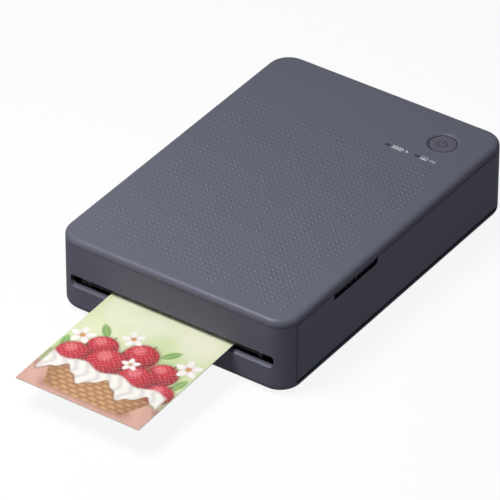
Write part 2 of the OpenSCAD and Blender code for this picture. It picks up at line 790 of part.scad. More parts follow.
// Paper tray, sheets and guides
module guide_slots() {
  slot_x0 = guide_x + 0.15;
  slot_x1 = guide_x + guide_t + guide_travel + 0.55;
  for (s = [0, 1]) mirror([s, 0, 0])
    box_on_path(slot_x0, slot_x1, lug_y - 0.2, lug_y + lug_l + 0.2,
      -tray_z - tray_t - 1, -tray_z + 1);
}
module paper_tray() color(trim_grey) {
  on_path() difference() {
    box_on_path(-tray_x, tray_x, tray_y0, tray_y1, -tray_z - tray_t, tray_wall_z);
    box_on_path(-tray_x + tray_t, tray_x - tray_t, tray_y0 + tray_t, tray_y1 - tray_t, -tray_z, case_h);
    // The front wall ends below the paper path
    box_on_path(-tray_x + tray_t, tray_x - tray_t, tray_y0 - 1, tray_y0 + tray_t + 1, -half_t - 0.6, case_h);
    guide_slots();
  }
  // Legs beside the battery, on bars that lie in the tray's floor
  for (y = leg_ys) {
    reach = battery_w/2 + leg_gap + leg_r;
    leg_top = path_height(y) - tray_z - tray_t/2;
    for (s = [-1, 1]) translate([battery_x + s*reach, y, base_top])
      cylinder(r = leg_r, h = leg_top - base_top);
    on_path() box_on_path(battery_x - reach, battery_x + reach, y - front_y - leg_r,
      y - front_y + leg_r, -tray_z - tray_t, -tray_z - tray_t/2);
  }
}
module paper_sheets() color("white") on_path()
  for (i = [0:sheets - 1])
    box_on_path(-paper_w/2, paper_w/2, stack_y, stack_y + paper_l,
      -tray_z + 0.02 + i*sheet_step, -tray_z + 0.02 + i*sheet_step + paper_t);
module paper_guide() color(nylon) on_path() {
  foot_z = -tray_z + 0.05;
  box_on_path(guide_x, guide_x + guide_t, guide_y, guide_y + guide_l, foot_z, 0.9);
  box_on_path(guide_x, guide_x + guide_t + guide_foot, guide_y, guide_y + guide_l, foot_z, foot_z + 0.8);
  hook_z = -tray_z - tray_t - 0.05;
  box_on_path(guide_x + 0.35, guide_x + guide_t + 0.35, lug_y, lug_y + lug_l, hook_z - 0.7, foot_z + eps);
  box_on_path(guide_x + 0.35, guide_x + guide_t + 0.35, lug_y - 1, lug_y + lug_l + 1, hook_z - 0.7, hook_z);
}
module paper_guide_left() mirror([1, 0, 0]) paper_guide();
module paper_guide_right() paper_guide();
module photo_print() color("ivory") on_path()
  box_on_path(-paper_w/2, paper_w/2, -print_out, paper_l - print_out, -half_t, half_t);

// Frame
module plate_outline() polygon([
  [front_y + plate_front, base_top], [front_y + plate_rear, base_top],
  [front_y + plate_rear, base_top + plate_rear_h],
  for (s = plate_steps) [front_y + s[0], path_height(front_y + s[0]) + s[1]]]);
module shaft_hole(pos, r) round_bar(pos, r + pin_gap, -case_w, case_w);
module frame_bores() {
  shaft_hole(exit_pos, exit_shaft_r);
  shaft_hole(platen_pos, platen_shaft_r);
  shaft_hole(capstan_pos, capstan_shaft_r);
  shaft_hole(pinch_pos, pinch_shaft_r);
  shaft_hole(idler_pos, idler_shaft_r);
  shaft_hole(pickup_pos, pickup_shaft_r);
  shaft_hole(cam_pos, cam_shaft_r);
}
module foot_tabs(s) difference() {
  for (y = foot_ys) translate([s > 0 ? plate_x - foot_tab : -plate_x, y - foot_tab_w/2, base_top])
    cube([foot_tab, foot_tab_w, plate_t]);
  for (y = foot_ys) translate([s*(plate_x - foot_tab/2), y, base_top - 1])
    cylinder(r = screw_r + 0.1, h = plate_t + 2);
}
module head_slot() box_on_path(-case_w, case_w, platen_y - head_bar_w/2 - bar_gap,
  platen_y + head_bar_w/2 + bar_gap, head_bar_z - head_lift - 0.3, head_bar_z + head_bar_h + 0.2);
module left_side_plate() color(steel) {
  difference() {
    across(-plate_out, -plate_x) plate_outline();
    on_path() {
      frame_bores();
      head_slot();
      round_bar(takeup_pos, stub_r + pin_gap, -case_w, 0);
    }
  }
  foot_tabs(-1);
  on_path() {
    // Cup that carries the supply spool's end
    tube(supply_pos, stub_r, journal_r + pin_gap, -plate_x - eps, cassette_x0 - 0.2);
    for (p = motor_ears) round_bar(p, 1.4, motor_x1, -plate_out + eps);
  }
}
module right_side_plate() color(steel) {
  difference() {
    across(plate_x, plate_out) plate_outline();
    on_path() {
      frame_bores();
      head_slot();
      cassette_hole();
    }
  }
  foot_tabs(1);
}
module cassette_hole() {
  for (p = [takeup_pos, supply_pos]) round_bar(p, spool_case_r + cassette_gap, 0, case_w);
  lug_reach = lug_off + lug_w/2 + cassette_gap;
  box_on_path(0, case_w, platen_y - lug_reach, platen_y + lug_reach,
    film_z - 0.1, strap_z + strap_h + cassette_gap);
  for (s = [-1, 1]) {
    lug_y0 = platen_y + s*lug_off;
    box_on_path(0, case_w, lug_y0 - lug_w/2 - cassette_gap, lug_y0 + lug_w/2 + cassette_gap,
      strap_z, spool_z);
  }
}
module lower_guide_plate() color(steel) on_path() difference() {
  box_on_path(-plate_x + 0.05, plate_x - 0.05, wall + 0.6, tray_y0 - 0.4, -half_t - 0.75, -half_t - 0.25);
  for (w = [[exit_y, 4.6], [platen_y, 6], [capstan_y, 4.6]])
    box_on_path(-roller_half - 0.5, roller_half + 0.5, w[0] - w[1]/2, w[0] + w[1]/2, -3, 3);
}
module frame_screws() color(steel)
  for (s = [-1, 1], y = foot_ys) translate([s*(plate_x - foot_tab/2), y, base_top - base_t/2]) {
    cylinder(r = screw_r, h = base_t/2 + plate_t + 0.2);
    translate([0, 0, base_t/2 + plate_t]) cylinder(r = 1.9*screw_r, h = 1.1);
  }

// Rollers
module exit_shaft() color(steel) on_path() round_bar(exit_pos, exit_shaft_r, gear_x0 - 0.3, shaft_end);
module exit_tires() color(rubber) on_path()
  for (x = exit_step*[-1, 0, 1]) tube(exit_pos, exit_r, exit_shaft_r + key_gap, x - exit_half, x + exit_half);
module exit_idlers() color(nylon) on_path() {
  round_bar(idler_pos, idler_shaft_r, -shaft_end, shaft_end);
  for (x = exit_step*[-1, 0, 1]) round_bar(idler_pos, idler_r, x - exit_half, x + exit_half);
}
module platen_shaft() color(steel) on_path()
  round_bar(platen_pos, platen_shaft_r, gear_x0 - 0.3, shaft_end);
module platen_rubber() color(rubber) on_path()
  tube(platen_pos, platen_r, platen_shaft_r + key_gap, -roller_half, roller_half);
module capstan_shaft() color(steel) on_path() {
  round_bar(capstan_pos, capstan_shaft_r, gear_x0 - 0.3, shaft_end);
  round_bar(capstan_pos, capstan_r, -roller_half, roller_half);
}
module pinch_roller() color(nylon) on_path()
  tube(pinch_pos, pinch_r, pinch_shaft_r + pin_gap, -roller_half, roller_half);
module pinch_shaft() color(steel) on_path()
  round_bar(pinch_pos, pinch_shaft_r, -shaft_end, shaft_end);
module pickup_shaft() color(steel) on_path()
  round_bar(pickup_pos, pickup_shaft_r, gear_x0 - 0.3, shaft_end);
module pickup_tires() color(rubber) on_path()
  for (x = pickup_step*[-1, 1])
    tube(pickup_pos, pickup_r, pickup_shaft_r + key_gap, x - pickup_half, x + pickup_half);

// Thermal head
module thermal_head() color("#7a4a3a") on_path() {
  box_on_path(-head_half, head_half, platen_y - head_d/2, platen_y + head_d/2,
    head_z + 0.2, head_z + head_plate_t);
  box_on_path(-paper_w/2, paper_w/2, platen_y - heater_half, platen_y + heater_half,
    head_z, head_z + heater_t);
}
module head_heat_sink() color(steel) on_path() {
  sink_z = head_z + head_plate_t;
  box_on_path(-head_half, head_half, platen_y - head_d/2, platen_y + head_d/2,
    sink_z, head_bar_z + head_bar_h);
  for (i = [0:fins - 1]) {
    fin_y = platen_y - head_d/2 + i*(head_d - fin_t)/(fins - 1);
    box_on_path(-head_half, head_half, fin_y, fin_y + fin_t, sink_z + 0.5, head_top);
  }
  for (s = [-1, 1])
    box_on_path(s*cam_x - cam_w/2 - 1, s*cam_x + cam_w/2 + 1, platen_y - head_d/2, platen_y + head_d/2,
      sink_z + 0.5, head_top);
  // Bars that slide in the slots of the side plates
  box_on_path(-plate_out + 0.2, plate_out - 0.2, platen_y - head_bar_w/2, platen_y + head_bar_w/2,
    head_bar_z, head_bar_z + head_bar_h);
}
function cam_radius(a) = cam_r + head_lift*(a <= cam_turn ? a/cam_turn : a <= cam_turn + 30 ? 1
  : a <= 320 ? 1 - (a - cam_turn - 30)/(320 - cam_turn - 30) : 0);
module cam_outline() polygon([for (a = [0:5:355]) cam_radius(a)*[cos(-90 + a), sin(-90 + a)]]);
module head_cam_shaft() color(steel) on_path() {
  round_bar(cam_pos, cam_shaft_r, -shaft_end, shaft_end);
  for (s = [-1, 1]) across(s*cam_x - cam_w/2, s*cam_x + cam_w/2) translate(cam_pos) cam_outline();
}
module head_springs() color(steel) on_path() for (s = [-1, 1])
  translate([s*spring_x, platen_y, -half_t - 0.2]) difference() {
    cylinder(r = spring_r, h = head_bar_z + half_t + 0.1);
    translate([0, 0, -1]) cylinder(r = spring_r - spring_wall, h = case_h);
  }

// Ribbon cassette
// Cuts the window through which the film leaves a spool's housing, towards the head
module film_window(pos, s) translate(pos) polygon([[0, 0],
  9*[-s*cos(3), sin(3)], 9*[-s*cos(25), -sin(25)], 9*[-s*cos(48), -sin(48)]]);
module spool_housing(pos, s) difference() {
  tube(pos, spool_case_r, spool_case_r - spool_wall, cassette_x0, cassette_x1);
  across(-film_half - 1, film_half + 1) film_window(pos, s);
}
module ribbon_cassette_case() color("#e8e6df") on_path() {
  spool_housing(takeup_pos, -1);
  spool_housing(supply_pos, 1);
  difference() {
    union() {
      // Left end: a wall on each housing and a low strap between them
      for (p = [takeup_pos, supply_pos]) round_bar(p, spool_case_r - eps, cassette_x0, cassette_x0 + end_t);
      for (s = [-1, 1]) box_on_path(cassette_x0, cassette_x0 + end_t, platen_y + s*lug_off - lug_w/2,
        platen_y + s*lug_off + lug_w/2, strap_z, spool_z - 2);
      box_on_path(cassette_x0, cassette_x0 + end_t, platen_y - lug_off, platen_y + lug_off,
        strap_z, strap_z + strap_h);
      // Right end: the grip
      for (p = [takeup_pos, supply_pos]) round_bar(p, spool_case_r, cassette_x1 - end_t, cassette_x1);
      box_on_path(cassette_x1 - end_t, cassette_x1, platen_y - spool_off, platen_y + spool_off,
        spool_z - spool_case_r, spool_z + spool_case_r);
      box_on_path(cassette_x1 - end_t, cassette_x1 + grip_out, platen_y - grip_half, platen_y + grip_half,
        spool_z - grip_t/2, spool_z + grip_t/2);
    }
    for (p = [takeup_pos, supply_pos]) round_bar(p, journal_r + pin_gap, cassette_x0 - 1, cassette_x1 + 1);
  }
}
module spool(pos, film_r) {
  round_bar(pos, journal_r, cassette_x0 - 0.9, cassette_x1 - 0.1);
  round_bar(pos, spool_core_r, cassette_x0 + end_t + 0.15, cassette_x1 - end_t - 0.15);
  round_bar(pos, film_r, -film_half, film_half);
  for (x = (film_half + flange_off)*[-1, 1]) round_bar(pos, flange_r, x - flange_t/2, x + flange_t/2);
}
module ribbon_supply_spool() color("#3b3350") on_path() spool(supply_pos, supply_r);
module ribbon_takeup_spool() color("#3b3350") on_path() spool(takeup_pos, takeup_r);
// Point where the film leaves a roll: its tangent from the turning point, on the head's side
function film_leave(turn, pos, r, s) =
  let (d = norm(pos - turn), a = bearing(turn, pos) + s*asin(r/d))
  turn + sqrt(d*d - r*r)*[cos(a), sin(a)];
// The film's inner face beside the point where it leaves a roll
function film_inner(turn, leave, s) = leave
  + s*film_t*[-sin(bearing(turn, leave)), cos(bearing(turn, leave))];
module ribbon_film() color("#5a4a86") on_path() across(-film_half + 0.3, film_half - 0.3) {
  front = [platen_y - film_run, film_z];
  rear = [platen_y + film_run, film_z];
  front_leave = film_leave(front, takeup_pos, takeup_r + film_gap, -1);
  rear_leave = film_leave(rear, supply_pos, supply_r + film_gap, 1);
  bend = 0.8*film_t;
  polygon([front_leave, front, rear, rear_leave, film_inner(rear, rear_leave, 1),
    rear + [-bend, film_t], front + [bend, film_t], film_inner(front, front_leave, -1)]);
}

// Gears
function tooth_angle(n, r) = let (rb = pitch_r(n)*cos(pressure_angle), c = min(1, rb/max(r, rb)))
  90/n - backlash/2/pitch_r(n)*180/PI + involute(pressure_angle) - involute(acos(c));
function involute(a) = tan(a)*180/PI - a;
function gear_points(n) = let (rf = pitch_r(n) - 1.2*gear_m, ra = pitch_r(n) + 0.95*gear_m,
    steps = [rf, pitch_r(n), ra])
  [for (i = [0:n - 1], s = [-1, 1], k = [0:2])
    let (r = steps[s < 0 ? k : 2 - k], a = i*360/n + s*tooth_angle(n, r)) r*[cos(a), sin(a)]];
module gear(n, pos, a, bore) across(gear_x0, gear_x1) translate(pos) difference() {
  rotate(a) polygon(gear_points(n));
  circle(bore);
}
module exit_gear() color(nylon) on_path() gear(exit_n, exit_pos, exit_a, exit_shaft_r + key_gap);
module feed_idler_gear() color(nylon) on_path()
  gear(small_n, feed_idler_pos, feed_idler_a, stud_r + pin_gap);
module platen_gear() color(nylon) on_path() gear(platen_n, platen_pos, 0, platen_shaft_r + key_gap);
module drive_gear() color(nylon) on_path() gear(drive_n, drive_pos, drive_a, stud_r + pin_gap);
module capstan_gear() color(nylon) on_path()
  gear(small_n, capstan_pos, capstan_a, capstan_shaft_r + key_gap);
module motor_pinion() color(steel) on_path() {
  gear(small_n, motor_pos, motor_a, motor_shaft_r + key_gap);
  round_bar(motor_pos, motor_shaft_r + key_gap, motor_x1 + 0.1, gear_x1);
}
module takeup_idler_gear() color(nylon) on_path()
  gear(small_n, takeup_idler_pos, takeup_idler_a, stud_r + pin_gap);
// The take-up gear's hub passes through the side plate and carries the spool's end
module takeup_gear() color(nylon) on_path() {
  gear(takeup_n, takeup_pos, takeup_a, journal_r + key_gap);
  tube(takeup_pos, stub_r, journal_r + key_gap, gear_x1 - eps, cassette_x0 - 0.15);
}
module pickup_gear() color(nylon) on_path()
  gear(pickup_n, pickup_pos, pickup_a, pickup_shaft_r + key_gap);
module pickup_idler_front() color(nylon) on_path()
  gear(pickup_idler_n, idler_front_pos, idler_front_a, stud_r + pin_gap);
module pickup_idler_rear() color(nylon) on_path()
  gear(pickup_idler_n, idler_rear_pos, idler_rear_a, stud_r + pin_gap);
module gear_studs() color(steel) on_path()
  for (p = [feed_idler_pos, takeup_idler_pos, drive_pos, idler_front_pos, idler_rear_pos])
    round_bar(p, stud_r, gear_x0 - 0.3, -plate_out);

// Motor
module drive_motor() color(steel) on_path() difference() {
  union() {
    round_bar(motor_pos, motor_d/2, -case_w/2 + wall + motor_gap, motor_x1);
    across(motor_x1 - 0.8, motor_x1) for (a = ear_angles) translate(motor_pos) rotate(a)
      translate([0, -ear_half]) square([motor_d/2 + ear_out + ear_half, 2*ear_half]);
  }
  round_bar(motor_pos, motor_shaft_r + key_gap + 0.3, motor_x1 - 2, motor_x1 + 1);
}

// Electronics
module main_board() color(board_green) difference() {
  translate([board_x - board_w/2, board_front, base_top + board_z]) cube([board_w, board_l, board_t]);
  // Corner cut out round the screw boss
  translate([-case_w/2, case_d/2 - corner_in - boss_room, base_top])
    cube([corner_in + boss_room, corner_in + boss_room, case_h]);
}
module board_chips() color("#202124") translate([0, 0, base_top + board_z + board_t]) {
  translate([board_x - chip_s/2, board_front + 2.2*chip_s, 0]) cube([chip_s, chip_s, chip_h]);
  translate([board_x - 0.8*chip_s, board_front + 4*chip_s, 0]) cube([0.6*chip_s, 0.8*chip_s, 0.9*chip_h]);
  translate([board_x + 0.3*chip_s, board_front + 3.8*chip_s, 0])
    cube([0.5*chip_s, 0.4*chip_s, 1.2*chip_h]);
  translate([board_x - 0.8*chip_s, board_front + 1.5*plug_w, 0]) cube([plug_l, plug_w, plug_h]);
  for (i = [0:2]) translate([board_x + cap_step, board_front + (2 + i)*cap_step, 0])
    cylinder(r = cap_r, h = cap_h);
}
module usb_port() color(steel) translate([usb_x, case_d/2 - 0.6, usb_z]) rotate([90, 0, 0]) {
  difference() {
    linear_extrude(usb_depth) usb_outline(0);
    translate([0, 0, -1]) linear_extrude(usb_depth) usb_outline(-usb_shell);
  }
  translate([0, 0, 1.2]) linear_extrude(usb_depth - 1.5) plan(6.7, 0.7, 0.2);
}
module battery_pack() color("#4f6d8f")
  translate([battery_x - battery_w/2, battery_y - battery_l/2, base_top])
    cube([battery_w, battery_l, battery_h]);

// Screws and feet
module case_screws() color(steel) at_corners(corner_in) translate([0, 0, foot_h + 0.1]) {
  cylinder(r = screw_r - 0.05, h = screw_l);
  cylinder(r1 = 2*screw_r - 0.1, r2 = screw_r - 0.05, h = screw_r);
}
module rubber_feet() color(rubber)
  for (sx = [-1, 1], sy = [-1, 1])
    translate([sx*(case_w/2 - corner_in - foot_step/4), sy*(case_d/2 - corner_in - foot_step)])
      cylinder(r = foot_r, h = foot_h);

base_cover();
main_housing();
side_door();
door_pins();
top_cover();
cover_liner();
cover_hinge_pins();
power_button();
power_switch();
button_board();
indicator_lenses();
pressure_plate();
pressure_springs();
paper_tray();
paper_sheets();
paper_guide_left();
paper_guide_right();
photo_print();
left_side_plate();
right_side_plate();
lower_guide_plate();
exit_shaft();
exit_tires();
exit_idlers();
platen_shaft();
platen_rubber();
capstan_shaft();
pinch_roller();
pinch_shaft();
pickup_shaft();
pickup_tires();
thermal_head();
head_heat_sink();
head_cam_shaft();
head_springs();
ribbon_cassette_case();
ribbon_supply_spool();
ribbon_takeup_spool();
ribbon_film();
exit_gear();
feed_idler_gear();
platen_gear();
drive_gear();
capstan_gear();
motor_pinion();
takeup_idler_gear();
takeup_gear();
pickup_gear();
pickup_idler_front();
pickup_idler_rear();
gear_studs();
drive_motor();
main_board();
board_chips();
usb_port();
battery_pack();
case_screws();
frame_screws();
rubber_feet();
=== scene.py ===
"""A compact photo printer with a print halfway out of its slot, on a white floor."""

import math

import bmesh
import bpy
import numpy as np
from mathutils import Matrix, Vector
from mathutils.bvhtree import BVHTree


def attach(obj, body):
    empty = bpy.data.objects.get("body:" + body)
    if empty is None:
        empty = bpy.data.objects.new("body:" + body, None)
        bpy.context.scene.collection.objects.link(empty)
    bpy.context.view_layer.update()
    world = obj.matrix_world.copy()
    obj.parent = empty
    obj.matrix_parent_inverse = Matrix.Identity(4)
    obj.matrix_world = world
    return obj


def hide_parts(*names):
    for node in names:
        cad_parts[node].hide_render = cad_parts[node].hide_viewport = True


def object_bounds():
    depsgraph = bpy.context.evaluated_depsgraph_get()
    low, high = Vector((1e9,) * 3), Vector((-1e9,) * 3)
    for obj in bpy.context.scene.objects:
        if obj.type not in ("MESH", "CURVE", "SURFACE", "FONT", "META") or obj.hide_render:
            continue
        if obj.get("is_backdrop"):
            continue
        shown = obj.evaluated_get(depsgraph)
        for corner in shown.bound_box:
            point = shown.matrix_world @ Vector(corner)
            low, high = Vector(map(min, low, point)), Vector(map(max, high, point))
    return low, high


MM = 0.001

# ---------------------------------------------------------------- camera

# Angles in radians; the azimuth is taken from straight in front, towards the right.
CAMERA_AZIMUTH = 0.6063
CAMERA_ELEVATION = 0.6224
CAMERA_ROLL = 0.0016
CAMERA_DISTANCE = 2024.37 * MM
CAMERA_AIM = Vector((0.0, 0.0, 16.0)) * MM
CAMERA_SHIFT_RIGHT = -12.826 * MM
CAMERA_SHIFT_UP = -10.6192 * MM
FOCAL_PIXELS = 5484.88
PICTURE_PIXELS = 500
SENSOR_WIDTH = 36.0
CLIP = (0.1, 20.0)


def make_camera():
    """The photo's long lens, fitted to the case's corners."""
    away = Vector(
        (
            math.sin(CAMERA_AZIMUTH) * math.cos(CAMERA_ELEVATION),
            -math.cos(CAMERA_AZIMUTH) * math.cos(CAMERA_ELEVATION),
            math.sin(CAMERA_ELEVATION),
        )
    )
    level = (-away).cross(Vector((0, 0, 1))).normalized()
    upright = level.cross(-away)
    right = math.cos(CAMERA_ROLL) * level + math.sin(CAMERA_ROLL) * upright
    up = -math.sin(CAMERA_ROLL) * level + math.cos(CAMERA_ROLL) * upright
    data = bpy.data.cameras.new("camera")
    data.sensor_width = SENSOR_WIDTH
    data.lens = FOCAL_PIXELS * SENSOR_WIDTH / PICTURE_PIXELS
    data.clip_start, data.clip_end = CLIP
    camera = bpy.data.objects.new("camera", data)
    bpy.context.scene.collection.objects.link(camera)
    place = CAMERA_AIM + right * CAMERA_SHIFT_RIGHT + up * CAMERA_SHIFT_UP
    turn = Matrix((right, up, away)).transposed().to_4x4()
    camera.matrix_world = Matrix.Translation(place + away * CAMERA_DISTANCE) @ turn
    bpy.context.scene.camera = camera


# ---------------------------------------------------------------- light

# Places and sizes in metres, powers in watts, and the floor's tones as shares of white.
WORLD_LIGHT = 0.15
WORLD_TINT = (0.8, 0.93, 1.16)
KEY_PLACE = (-0.085, -0.19, 0.4)
KEY_SIZE = 0.19
KEY_POWER = 1.76
FILL_PLACE = (0.12, -0.9, 0.25)
FILL_SIZE = 0.6
FILL_POWER = 0.2
FLOOR_HALF = 1.5
FLOOR_WHITE = 0.95
FLOOR_DARK = 0.2  # what the floor throws back at the object
FLOOR_SHOW = 0.9  # the share of plain white in what the camera sees
WHITE = (1.0, 1.0, 1.0, 1.0)


def make_softbox(name, place, size, power):
    """A square lamp that looks at the object from this place, in metres."""
    data = bpy.data.lights.new(name, "AREA")
    data.size = size
    data.energy = power
    lamp = bpy.data.objects.new(name, data)
    bpy.context.scene.collection.objects.link(lamp)
    lamp.location = place
    lamp.rotation_mode = "QUATERNION"
    lamp.rotation_quaternion = (-Vector(place)).to_track_quat("-Z", "Y")
    lamp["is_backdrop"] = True


def make_lights():
    """A box high over the front left and a weak, wide one low in front."""
    make_softbox("key_softbox", KEY_PLACE, KEY_SIZE, KEY_POWER)
    make_softbox("fill_softbox", FILL_PLACE, FILL_SIZE, FILL_POWER)


def seen_directly(nodes, links):
    """1 for camera, mirror and glass rays, 0 for the light that falls on things."""
    path = nodes.new("ShaderNodeLightPath")
    share = path.outputs["Is Camera Ray"]
    for kind in ("Is Glossy Ray", "Is Transmission Ray"):
        either = nodes.new("ShaderNodeMath")
        either.operation = "MAXIMUM"
        links.new(share, either.inputs[0])
        links.new(path.outputs[kind], either.inputs[1])
        share = either.outputs[0]
    return share


def make_world():
    """White to the camera, a plain grey light to the object."""
    world = bpy.data.worlds.new("studio")
    bpy.context.scene.world = world
    world.use_nodes = True
    nodes, links = world.node_tree.nodes, world.node_tree.links
    nodes.clear()
    out = nodes.new("ShaderNodeOutputWorld")
    mix = nodes.new("ShaderNodeMixShader")
    light = nodes.new("ShaderNodeBackground")
    light.inputs["Color"].default_value = (*WORLD_TINT, 1.0)
    light.inputs["Strength"].default_value = WORLD_LIGHT
    white = nodes.new("ShaderNodeBackground")
    white.inputs["Color"].default_value = WHITE
    white.inputs["Strength"].default_value = 1.0
    links.new(seen_directly(nodes, links), mix.inputs[0])
    links.new(light.outputs[0], mix.inputs[1])
    links.new(white.outputs[0], mix.inputs[2])
    links.new(mix.outputs[0], out.inputs["Surface"])


def floor_white():
    """White with a faint shadow to the camera, dark to the light that it throws up."""
    material = bpy.data.materials.new("floor_white")
    material.use_nodes = True
    nodes, links = material.node_tree.nodes, material.node_tree.links
    nodes.clear()
    out = nodes.new("ShaderNodeOutputMaterial")
    seen = seen_directly(nodes, links)
    lit = nodes.new("ShaderNodeBsdfDiffuse")
    tone = nodes.new("ShaderNodeMapRange")
    tone.inputs["To Min"].default_value = FLOOR_DARK
    tone.inputs["To Max"].default_value = FLOOR_WHITE
    links.new(seen, tone.inputs[0])
    links.new(tone.outputs[0], lit.inputs["Color"])
    glow = nodes.new("ShaderNodeEmission")
    glow.inputs["Strength"].default_value = 1.0
    share = nodes.new("ShaderNodeMath")
    share.operation = "MULTIPLY"
    share.inputs[1].default_value = FLOOR_SHOW
    links.new(seen, share.inputs[0])
    mix = nodes.new("ShaderNodeMixShader")
    links.new(share.outputs[0], mix.inputs[0])
    links.new(lit.outputs[0], mix.inputs[1])
    links.new(glow.outputs[0], mix.inputs[2])
    links.new(mix.outputs[0], out.inputs["Surface"])
    return material


def make_floor():
    """A level square on which the object stands."""
    mesh = bpy.data.meshes.new("floor")
    far = FLOOR_HALF
    mesh.from_pydata(
        [(-far, -far, 0), (far, -far, 0), (far, far, 0), (-far, far, 0)],
        [],
        [(0, 1, 2, 3)],
    )
    mesh.materials.append(floor_white())
    floor = bpy.data.objects.new("floor", mesh)
    bpy.context.scene.collection.objects.link(floor)
    floor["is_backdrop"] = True


# ---------------------------------------------------------------- shader graphs


def linear(red, green, blue):
    """A colour as read off a screen (0-255), in the shader's linear numbers."""
    return tuple(
        s / 12.92 if s <= 0.04045 else ((s + 0.055) / 1.055) ** 2.4
        for s in (red / 255, green / 255, blue / 255)
    )


def darker(colour, share):
    """The colour with this share of it taken away."""
    return tuple(c * (1 - share) for c in colour)


def lighter(colour, share):
    """The colour with this share of it added."""
    return tuple(min(1.0, c * (1 + share)) for c in colour)


EVEN = (1.0, 1.0, 1.0)


class Graph:
    """One material's node graph, with short calls for the nodes used here."""

    def __init__(self, name):
        self.material = bpy.data.materials.new(name)
        self.material.use_nodes = True
        self.nodes = self.material.node_tree.nodes
        self.links = self.material.node_tree.links
        self.shader = self.nodes["Principled BSDF"]
        self.axes = None
        self.tone = None
        self.relief = None

    def set(self, socket, value):
        """A constant on one of the shader's own sockets."""
        self.shader.inputs[socket].default_value = value

    def feed(self, socket, source):
        """A source linked into one of the shader's sockets."""
        self.links.new(source, self.shader.inputs[socket])

    def fill(self, sockets, values):
        """Each value set on its socket, or linked into it if it is a source."""
        for socket, value in zip(sockets, values):
            if isinstance(value, bpy.types.NodeSocket):
                self.links.new(value, socket)
            else:
                socket.default_value = value

    def math(self, operation, *values):
        """One step of arithmetic on sources and numbers."""
        node = self.nodes.new("ShaderNodeMath")
        node.operation = operation
        self.fill(node.inputs, values)
        return node.outputs[0]

    def rest(self, share):
        """What is left of a share: 1 - share."""
        return self.math("SUBTRACT", 1.0, share)

    def length(self, first, second):
        """The length of the flat vector with these two parts."""
        squares = [self.math("MULTIPLY", part, part) for part in (first, second)]
        return self.math("SQRT", self.math("ADD", *squares))

    def off_middle(self, value, pitch):
        """How far value is from the middle of its cell, as a share of the pitch."""
        share = self.math("FRACT", self.math("DIVIDE", value, pitch))
        return self.math("ABSOLUTE", self.math("SUBTRACT", share, 0.5))

    def beyond(self, value, limit):
        """1 where value is past the limit, 0 elsewhere."""
        return self.math("GREATER_THAN", value, limit)

    def inside(self, value, low, high, fade):
        """1 between low and high, 0 outside, with a soft edge as wide as fade."""
        rise = self.spread(value, 0.0, 1.0, low, low + fade)
        fall = self.spread(value, 1.0, 0.0, high - fade, high)
        return self.math("MULTIPLY", rise, fall)

    def place(self):
        """x, y and z of the point in the piece's own coordinates, in metres."""
        if self.axes is None:
            where = self.nodes.new("ShaderNodeTexCoord")
            split = self.nodes.new("ShaderNodeSeparateXYZ")
            self.links.new(where.outputs["Object"], split.inputs[0])
            self.axes = split.outputs
        return self.axes

    def upward(self):
        """How far the face looks up or down: 1 on a level face, 0 on an upright one."""
        where = self.nodes.new("ShaderNodeTexCoord")
        split = self.nodes.new("ShaderNodeSeparateXYZ")
        self.links.new(where.outputs["Normal"], split.inputs[0])
        return self.math("ABSOLUTE", split.outputs[2])

    def noise(self, size, stretch=EVEN, detail=3.0):
        """Cloudy noise with features of about this size, in metres."""
        where = self.nodes.new("ShaderNodeTexCoord")
        scaled = self.nodes.new("ShaderNodeMapping")
        scaled.inputs["Scale"].default_value = [s / size for s in stretch]
        cloud = self.nodes.new("ShaderNodeTexNoise")
        cloud.inputs["Scale"].default_value = 1.0
        cloud.inputs["Detail"].default_value = detail
        self.links.new(where.outputs["Object"], scaled.inputs["Vector"])
        self.links.new(scaled.outputs[0], cloud.inputs["Vector"])
        return cloud.outputs[0]

    def spread(self, source, low, high, from_low=0.3, from_high=0.7, smooth=False):
        """The source's range, which is most of a noise's, turned into low ... high."""
        node = self.nodes.new("ShaderNodeMapRange")
        if smooth:
            node.interpolation_type = "SMOOTHSTEP"
        self.fill(node.inputs, (source, from_low, from_high, low, high))
        return node.outputs[0]

    def between(self, share, first, second):
        """The first colour at share 0 and the second at share 1."""
        ramp = self.nodes.new("ShaderNodeValToRGB")
        ramp.color_ramp.elements[0].color = (*first, 1.0)
        ramp.color_ramp.elements[1].color = (*second, 1.0)
        self.links.new(share, ramp.inputs[0])
        return ramp.outputs[0]

    def cover(self, share, under, colour):
        """A colour, constant or from a source, laid over another source by share."""
        mix = self.nodes.new("ShaderNodeMix")
        mix.data_type = "RGBA"
        if isinstance(colour, tuple):
            colour = (*colour, 1.0)
        self.fill((mix.inputs[0], mix.inputs[6], mix.inputs[7]), (share, under, colour))
        return mix.outputs[2]

    def bump(self, height, depth, under=None):
        """A relief of this depth in metres, on top of another one if given."""
        node = self.nodes.new("ShaderNodeBump")
        node.inputs["Distance"].default_value = depth
        self.links.new(height, node.inputs["Height"])
        if under is not None:
            self.links.new(under, node.inputs["Normal"])
        return node.outputs[0]


ROUGH_SWING = 0.05


def grained(name, colour, roughness, grain, swing, depth, stretch=EVEN):
    """A surface whose colour, gloss and relief all vary a little with its grain.

    grain and depth are the grain's size and height in millimetres, swing is the share by
    which the colour gets darker and lighter, and a stretch below 1 draws the grain out
    along that axis.
    """
    g = Graph(name)
    cloud = g.noise(grain * MM, stretch)
    g.feed("Base Color", g.between(cloud, darker(colour, swing), lighter(colour, swing)))
    g.feed("Roughness", g.spread(cloud, roughness - ROUGH_SWING, roughness + ROUGH_SWING))
    g.feed("Normal", g.bump(cloud, depth * MM))
    return g


# ---------------------------------------------------------------- outside finishes

